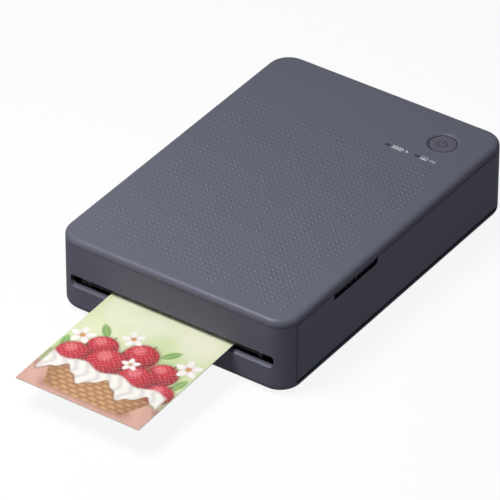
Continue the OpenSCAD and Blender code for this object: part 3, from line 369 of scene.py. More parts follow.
# Sizes and places are millimetres in the part's frame. A shade is the share of the shell's
# colour that is taken away, and a light is the share that is added.
SHELL = linear(103, 103, 115)
SHELL_ROUGH = 0.37
SHELL_ROUGH_SWING = 0.04
SHELL_SWING = 0.05
SHELL_SPECULAR = 0.0
SHELL_FLAKE = 0.15
CLOUD_SIZE = 30.0
CLOUD_SHARE = 0.6
GRAIN_SIZE = 0.25
GRAIN_DEPTH = 0.008

DOT_PITCH = 2.3
DOT_RADIUS = 0.75
DOT_DEPTH = 0.38
# Painted highlight: the dots are made lighter as if lit.
DOT_PAINTED_LIGHT = 0.7
DOT_SWING = (0.25, 1.45)  # weakest and strongest dot
DOT_CLOUD = 2.6  # how far apart weak and strong dots lie
DOT_FIELD_X = (-45.5, 45.0)
DOT_FIELD_Y = (-66.0, 39.0)
DOT_FIELD_Z = 31.8  # above the lid's rounded edge
DOT_FIELD_FADE = 0.2

# Painted shade: the walls of the door's gaps are darkened as if in shadow.
GAP_PAINTED_SHADE = 0.85
GAP_RIM = 0.03  # how far the shade reaches over the wall of a gap
DOOR_END = 66.2  # front and rear, from the case's middle
DOOR_TOP = 29.7
NOTCH_Y = (-43.05, -15.1)  # the door's notch round the lid's finger tab
NOTCH_Z = 27.0
# Painted shade on the lid's finger tab, below its edge.
TAB_PAINTED_SHADE = 0.18
LID_EDGE_Z = 29.95  # above the finger tab, below the rest of the lid's outside

BUTTON_CENTRE = (33.0, 55.4)
BUTTON_RADIUS = 5.3
BUTTON_SHADE = 0.08
BUTTON_ROUGH = SHELL_ROUGH - 0.06
GROOVE_RIM = (0.25, 0.35)  # inwards and outwards of the button's edge
GROOVE_FADE = 0.15
# Painted shade in the groove round the power button, on the lid and on the button.
GROOVE_PAINTED_SHADE = 0.7
SYMBOL_RADIUS = 1.85
SYMBOL_LINE = 0.34
SYMBOL_SOFTNESS = 0.3  # the share of a line's half width over which its edge fades
SYMBOL_GAP = 0.75  # how far the ring's gap widens to each side for each step north
SYMBOL_BAR = (0.0, 2.8)  # from and to, north of the middle
SYMBOL_BAR_FADE = 0.1
SYMBOL_DEPTH = 0.15
SYMBOL_SHADE = (0.55, 0.62)
LENS_SPECULAR = 0.1


def shell_graph(name, colour=SHELL, roughness=SHELL_ROUGH):
    """Satin grey plastic with a little metal flake, a moulded grain and faint clouding."""
    g = Graph(name)
    g.set("Metallic", SHELL_FLAKE)
    g.set("Specular IOR Level", SHELL_SPECULAR)
    cloud = g.noise(CLOUD_SIZE * MM, detail=2.0)
    grain = g.noise(GRAIN_SIZE * MM)
    tone = g.math(
        "ADD",
        g.math("MULTIPLY", cloud, CLOUD_SHARE),
        g.math("MULTIPLY", grain, 1 - CLOUD_SHARE),
    )
    g.tone = g.between(tone, darker(colour, SHELL_SWING), lighter(colour, SHELL_SWING))
    g.feed("Base Color", g.tone)
    gloss = roughness - SHELL_ROUGH_SWING, roughness + SHELL_ROUGH_SWING
    g.feed("Roughness", g.spread(tone, *gloss))
    g.relief = g.bump(grain, GRAIN_DEPTH * MM)
    g.feed("Normal", g.relief)
    return g


def shell_plastic():
    """The shell's plastic as it is."""
    return shell_graph("shell_plastic").material


def door_plastic():
    """The shell's plastic, with painted shade on the walls of the gaps all round the door."""
    g = shell_graph("door_plastic")
    _, y, z = g.place()
    ends = g.beyond(g.math("ABSOLUTE", y), (DOOR_END - GAP_RIM) * MM)
    top = g.beyond(z, (DOOR_TOP - GAP_RIM) * MM)
    low, high = NOTCH_Y
    notch = g.math("MULTIPLY", g.beyond(y, low * MM), g.rest(g.beyond(y, high * MM)))
    notch = g.math("MULTIPLY", notch, g.beyond(z, (NOTCH_Z - GAP_RIM) * MM))
    # Painted shade in the door's gaps, at its ends, along its top and round the notch.
    gaps = g.math("MAXIMUM", g.math("MAXIMUM", ends, top), notch)
    g.feed("Base Color", g.cover(gaps, g.tone, darker(SHELL, GAP_PAINTED_SHADE)))
    return g.material


def dot_pattern(g):
    """Small domes in a square grid over the middle of the lid's top face."""
    x, y, z = g.place()
    fields = (x, DOT_FIELD_X), (y, DOT_FIELD_Y)
    cells = [
        g.off_middle(g.math("SUBTRACT", axis, low * MM), DOT_PITCH * MM)
        for axis, (low, _) in fields
    ]
    dome = g.spread(g.length(*cells), 1.0, 0.0, 0.0, DOT_RADIUS / DOT_PITCH, smooth=True)
    for axis, (low, high) in fields:
        within = g.inside(axis, low * MM, high * MM, DOT_FIELD_FADE * MM)
        dome = g.math("MULTIPLY", dome, within)
    dome = g.math("MULTIPLY", dome, g.beyond(z, DOT_FIELD_Z * MM))
    strength = g.spread(g.noise(DOT_CLOUD * MM), *DOT_SWING)
    return g.math("MULTIPLY", dome, strength)


def from_button(g):
    """How far east, north and away from the button's middle the point lies, in metres."""
    x, y, _ = g.place()
    east = g.math("SUBTRACT", x, BUTTON_CENTRE[0] * MM)
    north = g.math("SUBTRACT", y, BUTTON_CENTRE[1] * MM)
    return east, north, g.length(east, north)


def button_gap_shade(g):
    """1 close to the power button's edge, on either side of its gap, where painted shade goes.
    """
    far = from_button(g)[2]
    low = (BUTTON_RADIUS - GROOVE_RIM[0]) * MM
    high = (BUTTON_RADIUS + GROOVE_RIM[1]) * MM
    return g.inside(far, low, high, GROOVE_FADE * MM)


def lid_plastic():
    """Shell plastic: raised dots with painted highlights, painted shade in the button groove
    and on the finger tab.
    """
    g = shell_graph("lid_plastic")
    dots = dot_pattern(g)
    # Painted highlight on the dots.
    dots_with_painted_highlight = g.cover(dots, g.tone, g.between(dots, SHELL, lighter(SHELL, DOT_PAINTED_LIGHT)))
    # Painted shade on the finger tab, below the lid's edge.
    tab = g.rest(g.beyond(g.place()[2], LID_EDGE_Z * MM))
    with_tab_shade = g.cover(tab, dots_with_painted_highlight, darker(SHELL, TAB_PAINTED_SHADE))
    # Painted shade in the groove round the power button.
    g.feed("Base Color", g.cover(button_gap_shade(g), with_tab_shade, darker(SHELL, GROOVE_PAINTED_SHADE)))
    g.feed("Normal", g.bump(dots, DOT_DEPTH * MM, g.relief))
    return g.material


def power_symbol(g):
    """1 on the lines of a broken ring with a bar through its gap."""
    east, north, far = from_button(g)
    aside = g.math("ABSOLUTE", east)
    half = SYMBOL_LINE / 2 * MM
    line = half * (1 - SYMBOL_SOFTNESS), half * (1 + SYMBOL_SOFTNESS)
    off_ring = g.math("ABSOLUTE", g.math("SUBTRACT", far, SYMBOL_RADIUS * MM))
    gap = g.math("GREATER_THAN", g.math("MULTIPLY", north, SYMBOL_GAP), aside)
    ring = g.math("MULTIPLY", g.spread(off_ring, 1.0, 0.0, *line), g.rest(gap))
    low, high = SYMBOL_BAR
    along = g.inside(north, low * MM, high * MM, SYMBOL_BAR_FADE * MM)
    upright = g.math("MULTIPLY", g.spread(aside, 1.0, 0.0, *line), along)
    return g.math("MAXIMUM", ring, upright)


def button_plastic():
    """The shell's plastic, a little smoother, with the power symbol sunk into it and painted
    shade in its groove.
    """
    g = shell_graph("button_plastic", darker(SHELL, BUTTON_SHADE), BUTTON_ROUGH)
    lines = power_symbol(g)
    dark = g.between(lines, *(darker(SHELL, shade) for shade in SYMBOL_SHADE))
    # The symbol's dark lines, and the painted shade of the groove round the button.
    symbol_and_gap_shade = g.math("MAXIMUM", lines, button_gap_shade(g))
    g.feed("Base Color", g.cover(symbol_and_gap_shade, g.tone, dark))
    g.feed("Normal", g.bump(g.rest(lines), SYMBOL_DEPTH * MM, g.relief))
    return g.material


def lens_plastic():
    """Smoked dark plastic with a dull surface."""
    g = grained(
        "lens_plastic", linear(52, 53, 62), roughness=0.3, grain=0.8, swing=0.15, depth=0.002
    )
    g.set("Specular IOR Level", LENS_SPECULAR)
    return g.material


def foot_rubber():
    """Soft black rubber."""
    return grained(
        "foot_rubber", linear(34, 34, 36), roughness=0.8, grain=0.3, swing=0.15, depth=0.02
    ).material


def label_ink():
    """Pale ink, printed thinly."""
    return grained(
        "label_ink", linear(206, 208, 214), roughness=0.55, grain=0.2, swing=0.04, depth=0.002
    ).material


# ---------------------------------------------------------------- inside finishes


def metal(name, colour, **looks):
    """A bare metal with a grain, which takes the looks that grained() takes."""
    g = grained(name, colour, **looks)
    g.set("Metallic", 1.0)
    return g.material


def tray_plastic():
    """Dark moulded plastic of the tray, the guides and the covers' insides."""
    return grained(
        "tray_plastic", linear(38, 39, 43), roughness=0.55, grain=0.3, swing=0.1, depth=0.01
    ).material


def turned_steel():
    """Bright steel with fine lines round the shafts, which run along X."""
    return metal(
        "turned_steel",
        linear(190, 192, 196),
        roughness=0.28,
        grain=0.12,
        swing=0.08,
        depth=0.002,
        stretch=(1.0, 0.1, 0.1),
    )


def sheet_steel():
    """Zinc plated sheet with long rolling lines."""
    return metal(
        "sheet_steel",
        linear(168, 172, 176),
        roughness=0.4,
        grain=0.4,
        swing=0.08,
        depth=0.003,
        stretch=(1.0, 0.08, 1.0),
    )


def coated_steel():
    """Sheet with a black coat, whose dark colour also stands in for shade, so that nothing
    shines through the print slot.
    """
    return grained(
        "coated_steel", linear(30, 31, 33), roughness=0.5, grain=0.35, swing=0.12, depth=0.008
    ).material


def sink_metal():
    """Pale drawn metal with lines along X."""
    return metal(
        "sink_metal",
        linear(196, 198, 202),
        roughness=0.45,
        grain=0.3,
        swing=0.07,
        depth=0.004,
        stretch=(0.06, 1.0, 1.0),
    )


def motor_can():
    """Grey drawn metal of the motor, with lines along X."""
    return metal(
        "motor_can",
        linear(150, 152, 156),
        roughness=0.35,
        grain=0.5,
        swing=0.1,
        depth=0.004,
        stretch=(0.1, 1.0, 1.0),
    )


def gear_acetal():
    """Black gear plastic, slightly glossy."""
    return grained(
        "gear_acetal", linear(40, 41, 44), roughness=0.35, grain=0.5, swing=0.1, depth=0.004
    ).material


def roller_rubber():
    """Ground rubber with fine rings round the roller."""
    return grained(
        "roller_rubber",
        linear(44, 44, 47),
        roughness=0.75,
        grain=0.25,
        swing=0.12,
        depth=0.01,
        stretch=(1.0, 0.2, 0.2),
    ).material


BOARD_GREEN = linear(28, 92, 58)
TRACK_LIGHT = 0.5
TRACK_PITCHES = (1.7, 2.9)  # millimetres along X and along Y
TRACK_HALF = (0.1, 0.16)  # shares of the pitch, where a track's edge starts and ends
TRACK_BEND = 1.2
TRACK_PATCH = 9.0
TRACK_DEPTH = 0.02
BOARD_CLOUD = 6.0
BOARD_ROUGH = (0.28, 0.38)


def board_lacquer():
    """Green lacquer with bent copper tracks showing faintly under it, in patches."""
    g = Graph("board_lacquer")
    x, y, _ = g.place()
    cloud = g.noise(BOARD_CLOUD * MM, detail=1.0)
    bent = (
        g.math("ADD", x, g.spread(cloud, 0.0, TRACK_BEND * MM)),
        g.math("ADD", y, g.spread(cloud, TRACK_BEND * MM, 0.0)),
    )
    lines = [
        g.spread(g.off_middle(axis, pitch * MM), 1.0, 0.0, *TRACK_HALF)
        for axis, pitch in zip(bent, TRACK_PITCHES)
    ]
    patch = g.beyond(g.noise(TRACK_PATCH * MM, detail=0.0), 0.5)
    shown = g.math("MULTIPLY", g.math("MAXIMUM", *lines), patch)
    g.feed("Base Color", g.between(shown, BOARD_GREEN, lighter(BOARD_GREEN, TRACK_LIGHT)))
    g.feed("Roughness", g.spread(cloud, *BOARD_ROUGH))
    g.feed("Normal", g.bump(shown, TRACK_DEPTH * MM))
    return g.material


def chip_resin():
    """Matt black resin."""
    return grained(
        "chip_resin", linear(30, 30, 32), roughness=0.6, grain=0.15, swing=0.15, depth=0.005
    ).material


def head_ceramic():
    """Pale ceramic with faint streaks along its length."""
    return grained(
        "head_ceramic",
        linear(206, 198, 180),
        roughness=0.3,
        grain=0.6,
        swing=0.1,
        depth=0.002,
        stretch=(0.03, 1.0, 1.0),
    ).material


def cassette_plastic():
    """Whitish moulded plastic of the ribbon cassette."""
    return grained(
        "cassette_plastic",
        linear(214, 216, 220),
        roughness=0.5,
        grain=0.35,
        swing=0.04,
        depth=0.01,
    ).material


DYE_PANEL_REPEAT = 30.0
DYE_PANELS = (  # where each starts, as a share of the repeat, and its colour
    (0.0, linear(160, 130, 30)),
    (0.33, linear(130, 30, 80)),
    (0.66, linear(25, 80, 120)),
)
FILM_CLOUD = 4.0
FILM_STRETCH = (0.2, 1.0, 1.0)
FILM_ROUGH = (0.18, 0.3)
FILM_DEPTH = 0.01


def dye_film():
    """Thin dark film with the wide yellow, magenta and cyan panels of its dyes."""
    g = Graph("dye_film")
    share = g.math("FRACT", g.math("DIVIDE", g.place()[1], DYE_PANEL_REPEAT * MM))
    panels = g.nodes.new("ShaderNodeValToRGB")
    ramp = panels.color_ramp
    ramp.interpolation = "CONSTANT"
    ramp.elements.new(0.5)
    for element, (start, colour) in zip(ramp.elements, DYE_PANELS):
        element.position = start
        element.color = (*colour, 1.0)
    g.links.new(share, panels.inputs[0])
    g.feed("Base Color", panels.outputs[0])
    cloud = g.noise(FILM_CLOUD * MM, FILM_STRETCH)
    g.feed("Roughness", g.spread(cloud, *FILM_ROUGH))
    g.feed("Normal", g.bump(cloud, FILM_DEPTH * MM))
    return g.material


CARD_WHITE = linear(240, 240, 236)
CARD_PITCH = 0.25
CARD_LINE = (0.6, 0.2)  # strength in a line's middle, and its half width in shares
CARD_LINE_SHADE = 0.35
SIDE_TILT = 0.7  # faces that look up or down less than this are sides
FIBRE_SIZE = 0.3
FIBRE_DEPTH = 0.006
CARD_ROUGH = (0.6, 0.7)


def paper_stack():
    """White card with the faint lines of the single sheets on its sides."""
    g = Graph("paper_stack")
    on_side = g.math("LESS_THAN", g.upward(), SIDE_TILT)
    strength, half = CARD_LINE
    line = g.spread(g.off_middle(g.place()[2], CARD_PITCH * MM), strength, 0.0, 0.0, half)
    line = g.math("MULTIPLY", line, on_side)
    fibre = g.noise(FIBRE_SIZE * MM)
    g.feed("Base Color", g.between(line, CARD_WHITE, darker(CARD_WHITE, CARD_LINE_SHADE)))
    g.feed("Roughness", g.spread(fibre, *CARD_ROUGH))
    g.feed("Normal", g.bump(fibre, FIBRE_DEPTH * MM))
    return g.material


def battery_sleeve():
    """Blue shrink sleeve with a slightly uneven gloss."""
    return grained(
        "battery_sleeve",
        linear(52, 78, 118),
        roughness=0.35,
        grain=5.0,
        swing=0.08,
        depth=0.03,
        stretch=(1.0, 0.3, 1.0),
    ).material


FINISHES = {
    shell_plastic: ("main_housing",),
    door_plastic: ("side_door",),
    lid_plastic: ("top_cover",),
    button_plastic: ("power_button",),
    lens_plastic: ("indicator_lenses",),
    foot_rubber: ("rubber_feet",),
    tray_plastic: (
        "base_cover",
        "cover_liner",
        "pressure_plate",
        "paper_tray",
        "paper_guide_left",
        "paper_guide_right",
        "lower_guide_plate",
    ),
    turned_steel: (
        "door_pins",
        "cover_hinge_pins",
        "pressure_springs",
        "exit_shaft",
        "platen_shaft",
        "capstan_shaft",
        "pinch_shaft",
        "pickup_shaft",
        "head_cam_shaft",
        "head_springs",
        "gear_studs",
        "case_screws",
        "frame_screws",
    ),
    sheet_steel: ("usb_port",),
    coated_steel: ("left_side_plate", "right_side_plate"),
    sink_metal: ("head_heat_sink",),
    gear_acetal: (
        "exit_idlers",
        "exit_gear",
        "feed_idler_gear",
        "platen_gear",
        "drive_gear",
        "capstan_gear",
        "motor_pinion",
        "takeup_idler_gear",
        "takeup_gear",
        "pickup_gear",
        "pickup_idler_front",
        "pickup_idler_rear",
    ),
    roller_rubber: ("exit_tires", "platen_rubber", "pinch_roller", "pickup_tires"),
    board_lacquer: ("button_board", "main_board"),
    chip_resin: ("power_switch", "board_chips"),
    head_ceramic: ("thermal_head",),
    cassette_plastic: (
        "ribbon_cassette_case",
        "ribbon_supply_spool",
        "ribbon_takeup_spool",
    ),
    dye_film: ("ribbon_film",),
    paper_stack: ("paper_sheets",),
    battery_sleeve: ("battery_pack",),
    motor_can: ("drive_motor",),
}


def finish_nodes(nodes):
    """Gives every CAD node its finish, through the material slots it came with."""
    for make, names in FINISHES.items():
        material = make()
        for name in names:
            for holder in nodes[name].material_slots:
                holder.material = material


# ---------------------------------------------------------------- the picture on the print

# Places are millimetres on the sheet: across from its middle, up from its outer end. Round
# things are given as across, up and radius. A share says how strongly a colour is laid on.
MEADOW_GREEN = linear(196, 214, 152)
MEADOW_PALE = linear(230, 232, 194)
GLOW = linear(242, 239, 218)
GLOW_SOFTNESS = 4.0
GLOW_SHARE = 0.6
GLOWS = (
    (-16.0, 54.0, 9.0),
    (4.0, 60.0, 11.0),
    (18.0, 50.0, 8.0),
    (-4.0, 50.0, 6.0),
    (12.0, 72.0, 10.0),
)

TABLE_TOP = 13.0
TABLE_SOFTNESS = 1.4
TABLE_PEACH = linear(216, 170, 152)
TABLE_FOLD = linear(196, 146, 130)
TABLE_FOLD_SHARE = 0.35

BASKET_TOP = 18.5
BASKET_FOOT = 3.5
BASKET_HALF = (17.0, 24.0)
BASKET_CURVE = 26.0
BASKET_SHADOW = linear(150, 106, 92)
BASKET_SHADOW_REACH = 2.0
BASKET_SHADOW_SHARE = 0.6
BASKET_DARK = linear(110, 70, 50)
STRAW = linear(206, 158, 110)
STRAW_DARK = linear(150, 100, 60)
STRAW_SEAM = linear(122, 78, 48)
STRAW_ROW = 2.1
STRAW_TURNS = 1.5  # radians of the weave for each millimetre across
STRAW_DARK_SHARE = 0.65
STRAW_SEAM_START = 0.8
STRAW_SEAM_SHARE = 0.7

CLOTH_HALF = 25.0
CLOTH_HANG = 5.5
CLOTH_RISE = 1.5
CLOTH_CREAM = linear(243, 238, 229)
CLOTH_CREASE = linear(206, 194, 190)
CLOTH_CREASE_SHARE = 0.6
CLOTH_SHADOW = linear(110, 76, 60)
CLOTH_SHADOW_REACH = 1.2
CLOTH_SHADOW_SHARE = 0.45

FRUIT = (
    (-11.5, 31.0, 6.2),
    (3.5, 34.0, 6.8),
    (16.0, 29.5, 6.2),
    (-18.5, 22.5, 6.6),
    (-5.0, 24.5, 7.6),
    (9.5, 22.5, 7.0),
    (21.5, 20.0, 5.4),
)
FRUIT_RED = linear(196, 38, 58)
FRUIT_DARK = linear(120, 14, 34)
FRUIT_LIGHT = linear(232, 120, 126)
FRUIT_SHADOW = linear(70, 26, 24)
FRUIT_SHADOW_REACH = 1.08  # this and the next three are shares of the radius
FRUIT_LIGHT_PLACE = (-0.35, 0.4)
FRUIT_LIGHT_REACH = 0.35
FRUIT_DARK_START = 0.7
FLECK_TURNS = (2.9, 3.3)  # radians for each millimetre across and up
FLECK_WARP = 0.9
FLECK_PALE = linear(240, 178, 160)
FLECK_DARK = linear(110, 10, 28)
STALK_BROWN = linear(104, 72, 44)
STALK_HALF = (0.3, 1.2)  # half width and half length
STALK_LEAN = 0.2

BLOSSOMS = ((-21.5, 33.0, 5.0), (-4.5, 41.0, 4.6), (22.0, 37.5, 5.2), (3.0, 28.5, 3.6))
PETALS = 5
PETAL_MIDDLE = 0.78  # shares of the radius: the rim's middle, its swing and the eye
PETAL_SWING = 0.22
EYE_REACH = 0.24
PETAL_WHITE = linear(246, 240, 232)
PETAL_FOLD = linear(214, 196, 196)
BLOSSOM_EYE = linear(205, 150, 92)

LEAVES = (  # across, up and the way they point, in radians
    (-15.5, 39.5, 2.3),
    (12.5, 40.5, 0.9),
    (-24.5, 26.5, 1.9),
    (24.5, 28.0, 1.3),
)
LEAF_HALF_WIDTH = 1.7
LEAF_HALF_LENGTH = 4.5
LEAF_RIB_HALF = 0.2
LEAF_RIB_SHARE = 0.7
LEAF_GREEN = linear(132, 168, 96)
LEAF_RIB = linear(190, 210, 150)


def over(picture, colour, share):
    """Paints a colour over the picture with this share at each point."""
    picture += (np.array(colour) - picture) * share[:, None]


def edge(distance, softness):
    """1 where distance is below 0, 0 above, softly."""
    return 1 / (1 + np.exp(np.clip(distance / softness * 4, -30, 30)))


def paint_meadow(picture, u, v):
    """A pale green meadow far out of focus, with round spots of light."""
    wave = 0.5 + 0.25 * np.sin(u * 0.13 + v * 0.09) + 0.25 * np.sin(v * 0.17 - u * 0.06)
    over(picture, MEADOW_GREEN, np.ones_like(u))
    over(picture, MEADOW_PALE, wave)
    for x, y, r in GLOWS:
        far = np.hypot(u - x, v - y)
        over(picture, GLOW, edge(far - r, GLOW_SOFTNESS) * GLOW_SHARE)


def paint_table(picture, u, v):
    """A peach cloth with faint folds."""
    table = edge(v - TABLE_TOP - 0.6 * np.sin(u * 0.12), TABLE_SOFTNESS)
    over(picture, TABLE_PEACH, table)
    fold = 0.5 + 0.5 * np.sin(u * 0.7 + v * 0.35)
    over(picture, TABLE_FOLD, table * fold * TABLE_FOLD_SHARE)


def paint_basket(picture, u, v):
    """A woven basket with dark sides, and its shadow on the table."""
    rise = (v - BASKET_FOOT) / (BASKET_TOP - BASKET_FOOT)
    narrow, wide = BASKET_HALF
    half = narrow + (wide - narrow) * np.clip(rise, 0, 1)
    aside = np.abs(u)
    reach = BASKET_SHADOW_REACH
    shadow = edge(aside - half - reach, 3.0) * edge(np.abs(v - BASKET_FOOT) - reach, 2.0)
    over(picture, BASKET_SHADOW, shadow * BASKET_SHADOW_SHARE)
    low = BASKET_FOOT - 1.0 + (u / BASKET_CURVE) ** 2
    bowl = edge(aside - half, 0.5) * edge(low - v, 0.5) * edge(v - BASKET_TOP, 0.5)
    over(picture, STRAW, bowl)
    row = np.floor(v / STRAW_ROW)
    strand = np.sin(u * STRAW_TURNS + row * math.pi) * 0.5 + 0.5
    over(picture, STRAW_DARK, bowl * strand**2 * STRAW_DARK_SHARE)
    off_middle = np.abs(np.mod(v, STRAW_ROW) - STRAW_ROW / 2)
    seam = edge(STRAW_SEAM_START - off_middle, 0.2)
    over(picture, STRAW_SEAM, bowl * seam * STRAW_SEAM_SHARE)
    over(picture, BASKET_DARK, bowl * np.clip(aside / half - 0.6, 0, 1))


def paint_cloth(picture, u, v):
    """A cream cloth that hangs over the basket's rim, with its shadow below."""
    low = BASKET_TOP - CLOTH_HANG + 3.0 * np.sin(u * 0.36 + 0.9) + 0.8 * np.sin(u * 1.1)
    high = BASKET_TOP + CLOTH_RISE + 1.2 * np.sin(u * 0.4)
    below_top = edge(v - high, 0.8)
    cloth = edge(low - v, 0.5) * below_top * edge(np.abs(u) - CLOTH_HALF, 0.6)
    shadow = edge(low - CLOTH_SHADOW_REACH - v, CLOTH_SHADOW_REACH) * below_top
    over(picture, CLOTH_SHADOW, shadow * CLOTH_SHADOW_SHARE)
    over(picture, CLOTH_CREAM, cloth)
    crease = 0.5 + 0.5 * np.sin(u * 1.3 + np.sin(v * 0.7) * 1.5)
    over(picture, CLOTH_CREASE, cloth * crease**2 * CLOTH_CREASE_SHARE)


def paint_fruit(picture, u, v):
    """Round red fruit with a soft light on the shoulder, pale flecks and a short stalk."""
    for x, y, r in FRUIT:
        east, north = u - x, v - y
        far = np.hypot(east, north) / r
        over(picture, FRUIT_SHADOW, edge((far - FRUIT_SHADOW_REACH) * r, 1.6) * 0.5)
        body = edge((far - 1) * r, 0.4)
        over(picture, FRUIT_RED, body)
        light_east, light_north = FRUIT_LIGHT_PLACE
        off_light = np.hypot(east - light_east * r, north - light_north * r) / r
        over(picture, FRUIT_DARK, body * np.clip(off_light - FRUIT_DARK_START, 0, 1) ** 0.8)
        light = edge((off_light - FRUIT_LIGHT_REACH) * r, 1.2)
        over(picture, FRUIT_LIGHT, body * light * 0.8)
        columns = np.sin(u * FLECK_TURNS[0] + x + FLECK_WARP * np.sin(v * 1.3 + x))
        rows = np.sin(v * FLECK_TURNS[1] + y + FLECK_WARP * np.sin(u * 1.1 + y))
        fleck = columns * rows
        over(picture, FLECK_PALE, body * edge(0.75 - fleck, 0.2) * 0.6)
        over(picture, FLECK_DARK, body * edge(fleck + 0.6, 0.3) * 0.35)
        thick, tall = STALK_HALF
        stalk = edge(np.abs(east - STALK_LEAN * north) - thick, 0.2)
        over(picture, STALK_BROWN, stalk * edge(np.abs(north - r) - tall, 0.3))


def paint_blossoms(picture, u, v):
    """Cream flowers with round petals and a tan eye."""
    for x, y, r in BLOSSOMS:
        far = np.hypot(u - x, v - y)
        turn = np.arctan2(v - y, u - x)
        rim = r * (PETAL_MIDDLE + PETAL_SWING * np.cos(PETALS * turn + x))
        petals = edge(far - rim, 0.4)
        over(picture, PETAL_WHITE, petals)
        fold = np.abs(np.sin(PETALS / 2 * turn + x / 2)) ** 6
        over(picture, PETAL_FOLD, petals * fold * 0.6)
        over(picture, BLOSSOM_EYE, edge(far - EYE_REACH * r, 0.4))


def paint_leaves(picture, u, v):
    """Pointed leaves, each with a pale rib."""
    for x, y, turn in LEAVES:
        along = (u - x) * math.cos(turn) + (v - y) * math.sin(turn)
        aside = (v - y) * math.cos(turn) - (u - x) * math.sin(turn)
        taper = np.clip(np.abs(along) / LEAF_HALF_LENGTH, 0, 1)
        half = LEAF_HALF_WIDTH * (1 - taper**2)
        ends = edge(np.abs(along) - LEAF_HALF_LENGTH + 0.2, 0.4)
        leaf = edge(np.abs(aside) - half, 0.4) * ends
        over(picture, LEAF_GREEN, leaf)
        rib = edge(np.abs(aside) - LEAF_RIB_HALF, 0.2)
        over(picture, LEAF_RIB, leaf * rib * LEAF_RIB_SHARE)


def still_life(u, v):
    """The picture's linear colour at each point (u, v) of the sheet."""
    picture = np.zeros((len(u), 3))
    for paint in (
        paint_meadow,
        paint_table,
        paint_leaves,
        paint_basket,
        paint_fruit,
        paint_blossoms,
        paint_cloth,
    ):
        paint(picture, u, v)
    return np.clip(picture, 0.0, 1.0)


# ---------------------------------------------------------------- the print

PATH_TILT = math.radians(1.9)  # how far the paper's path rises towards the rear
PICTURE_CELL = 0.35
RIPPLE_SIZE = 3.0
RIPPLE_DEPTH = 0.004
GLOSS_ROUGH = (0.28, 0.36)


def photo_gloss():
    """Glossy photo paper that shows the mesh's own colours."""
    g = Graph("photo_gloss")
    colours = g.nodes.new("ShaderNodeVertexColor")
    colours.layer_name = "picture"
    g.feed("Base Color", colours.outputs["Color"])
    ripple = g.noise(RIPPLE_SIZE * MM)
    g.feed("Roughness", g.spread(ripple, *GLOSS_ROUGH))
    g.feed("Normal", g.bump(ripple, RIPPLE_DEPTH * MM))
    return g.material


def photo_back():
    """The sheet's bare back and edges."""
    return grained(
        "photo_back", linear(236, 236, 232), roughness=0.55, grain=0.4, swing=0.03, depth=0.003
    ).material


def ends_along(points, axis):
    """The lowest and highest place of the points along this axis."""
    places = [point.dot(axis) for point in points]
    return min(places), max(places)


def grid_faces(columns, rows):
    """The squares of a grid whose points run row by row."""
    wide = columns + 1
    return [
        (a, a + 1, a + wide + 1, a + wide)
        for row in range(rows)
        for a in range(row * wide, row * wide + columns)
    ]


def grid_rim(columns, rows):
    """The points on the grid's rim, once round, anticlockwise from the first."""
    wide = columns + 1
    rim = list(range(wide))
    rim += [row * wide + columns for row in range(1, rows + 1)]
    rim += [rows * wide + column for column in range(columns - 1, -1, -1)]
    rim += [row * wide for row in range(rows - 1, 0, -1)]
    return rim


def make_print(node):
    """A sheet in the CAD print's place: a fine grid on top for the picture, closed below."""
    sideways = Vector((1, 0, 0))
    along = Vector((0, math.cos(PATH_TILT), math.sin(PATH_TILT)))
    out = Vector((0, -math.sin(PATH_TILT), math.cos(PATH_TILT)))
    points = [v.co for v in node.data.vertices]
    west, east = ends_along(points, sideways)
    front, rear = ends_along(points, along)
    low, high = ends_along(points, out)
    columns = round((east - west) / (PICTURE_CELL * MM))
    rows = round((rear - front) / (PICTURE_CELL * MM))
    across, up = np.meshgrid(
        np.linspace(west, east, columns + 1), np.linspace(front, rear, rows + 1)
    )
    across, up = across.ravel(), up.ravel()
    top = [sideways * x + along * y + out * high for x, y in zip(across, up)]
    rim = grid_rim(columns, rows)
    under = [top[i] - out * (high - low) for i in rim]
    first, count = len(top), len(rim)
    sides = [
        (rim[i], first + i, first + (i + 1) % count, rim[(i + 1) % count])
        for i in range(count)
    ]
    back = tuple(first + i for i in reversed(range(count)))
    faces = grid_faces(columns, rows)
    mesh = bpy.data.meshes.new("print_sheet")
    mesh.from_pydata(top + under, [], faces + sides + [back])
    mesh.materials.append(photo_gloss())
    mesh.materials.append(photo_back())
    kinds = [0] * len(faces) + [1] * (len(sides) + 1)
    mesh.polygons.foreach_set("material_index", kinds)
    colours = np.ones((first + count, 4))
    colours[:first, :3] = still_life(across / MM, (up - front) / MM)
    layer = mesh.color_attributes.new("picture", "FLOAT_COLOR", "POINT")
    layer.data.foreach_set("color", colours.astype(np.float32).ravel())
    piece = bpy.data.objects.new("print_sheet", mesh)
    bpy.context.scene.collection.objects.link(piece)
    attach(piece, "print")
    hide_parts("photo_print")


# ---------------------------------------------------------------- pictograms by the lenses

# Millimetres to the right and to the rear of the pictogram's place on the lid.
MARK_LINE = 0.22
MARK_LIFT = 0.02
MARK_HALF = 0.95
MARK_START = 0.1  # metres above the frame's origin, from where the lid's top is felt for
BATTERY_PLACE = (19.0, 42.8)
BATTERY_LENGTH = 4.4
BATTERY_CAP = 0.4
CHARGE_BARS = 3
CHARGE_START = 0.55
CHARGE_WIDTH = 0.75
CHARGE_PITCH = 1.2
CHARGE_HALF = 0.5
FLASH_UPPER = [(6.3, 1.0), (5.6, -0.1), (6.3, -0.1), (6.5, 0.15)]
FLASH_LOWER = [(6.3, 0.1), (6.2, -1.0), (7.2, 0.1)]
SHEET_PLACE = (31.5, 42.8)
SHEET_LENGTH = 2.9
HILL = [(0.4, -0.6), (2.5, -0.6), (1.7, 0.3), (1.3, -0.1), (1.0, 0.2)]
ARROW_SHAFT = (3.5, -0.13, 5.0, 0.13)
ARROW_HEAD = [(4.9, -0.6), (5.8, 0.0), (4.9, 0.6)]
STOP_LINE = (6.1, -MARK_HALF, 6.35, MARK_HALF)


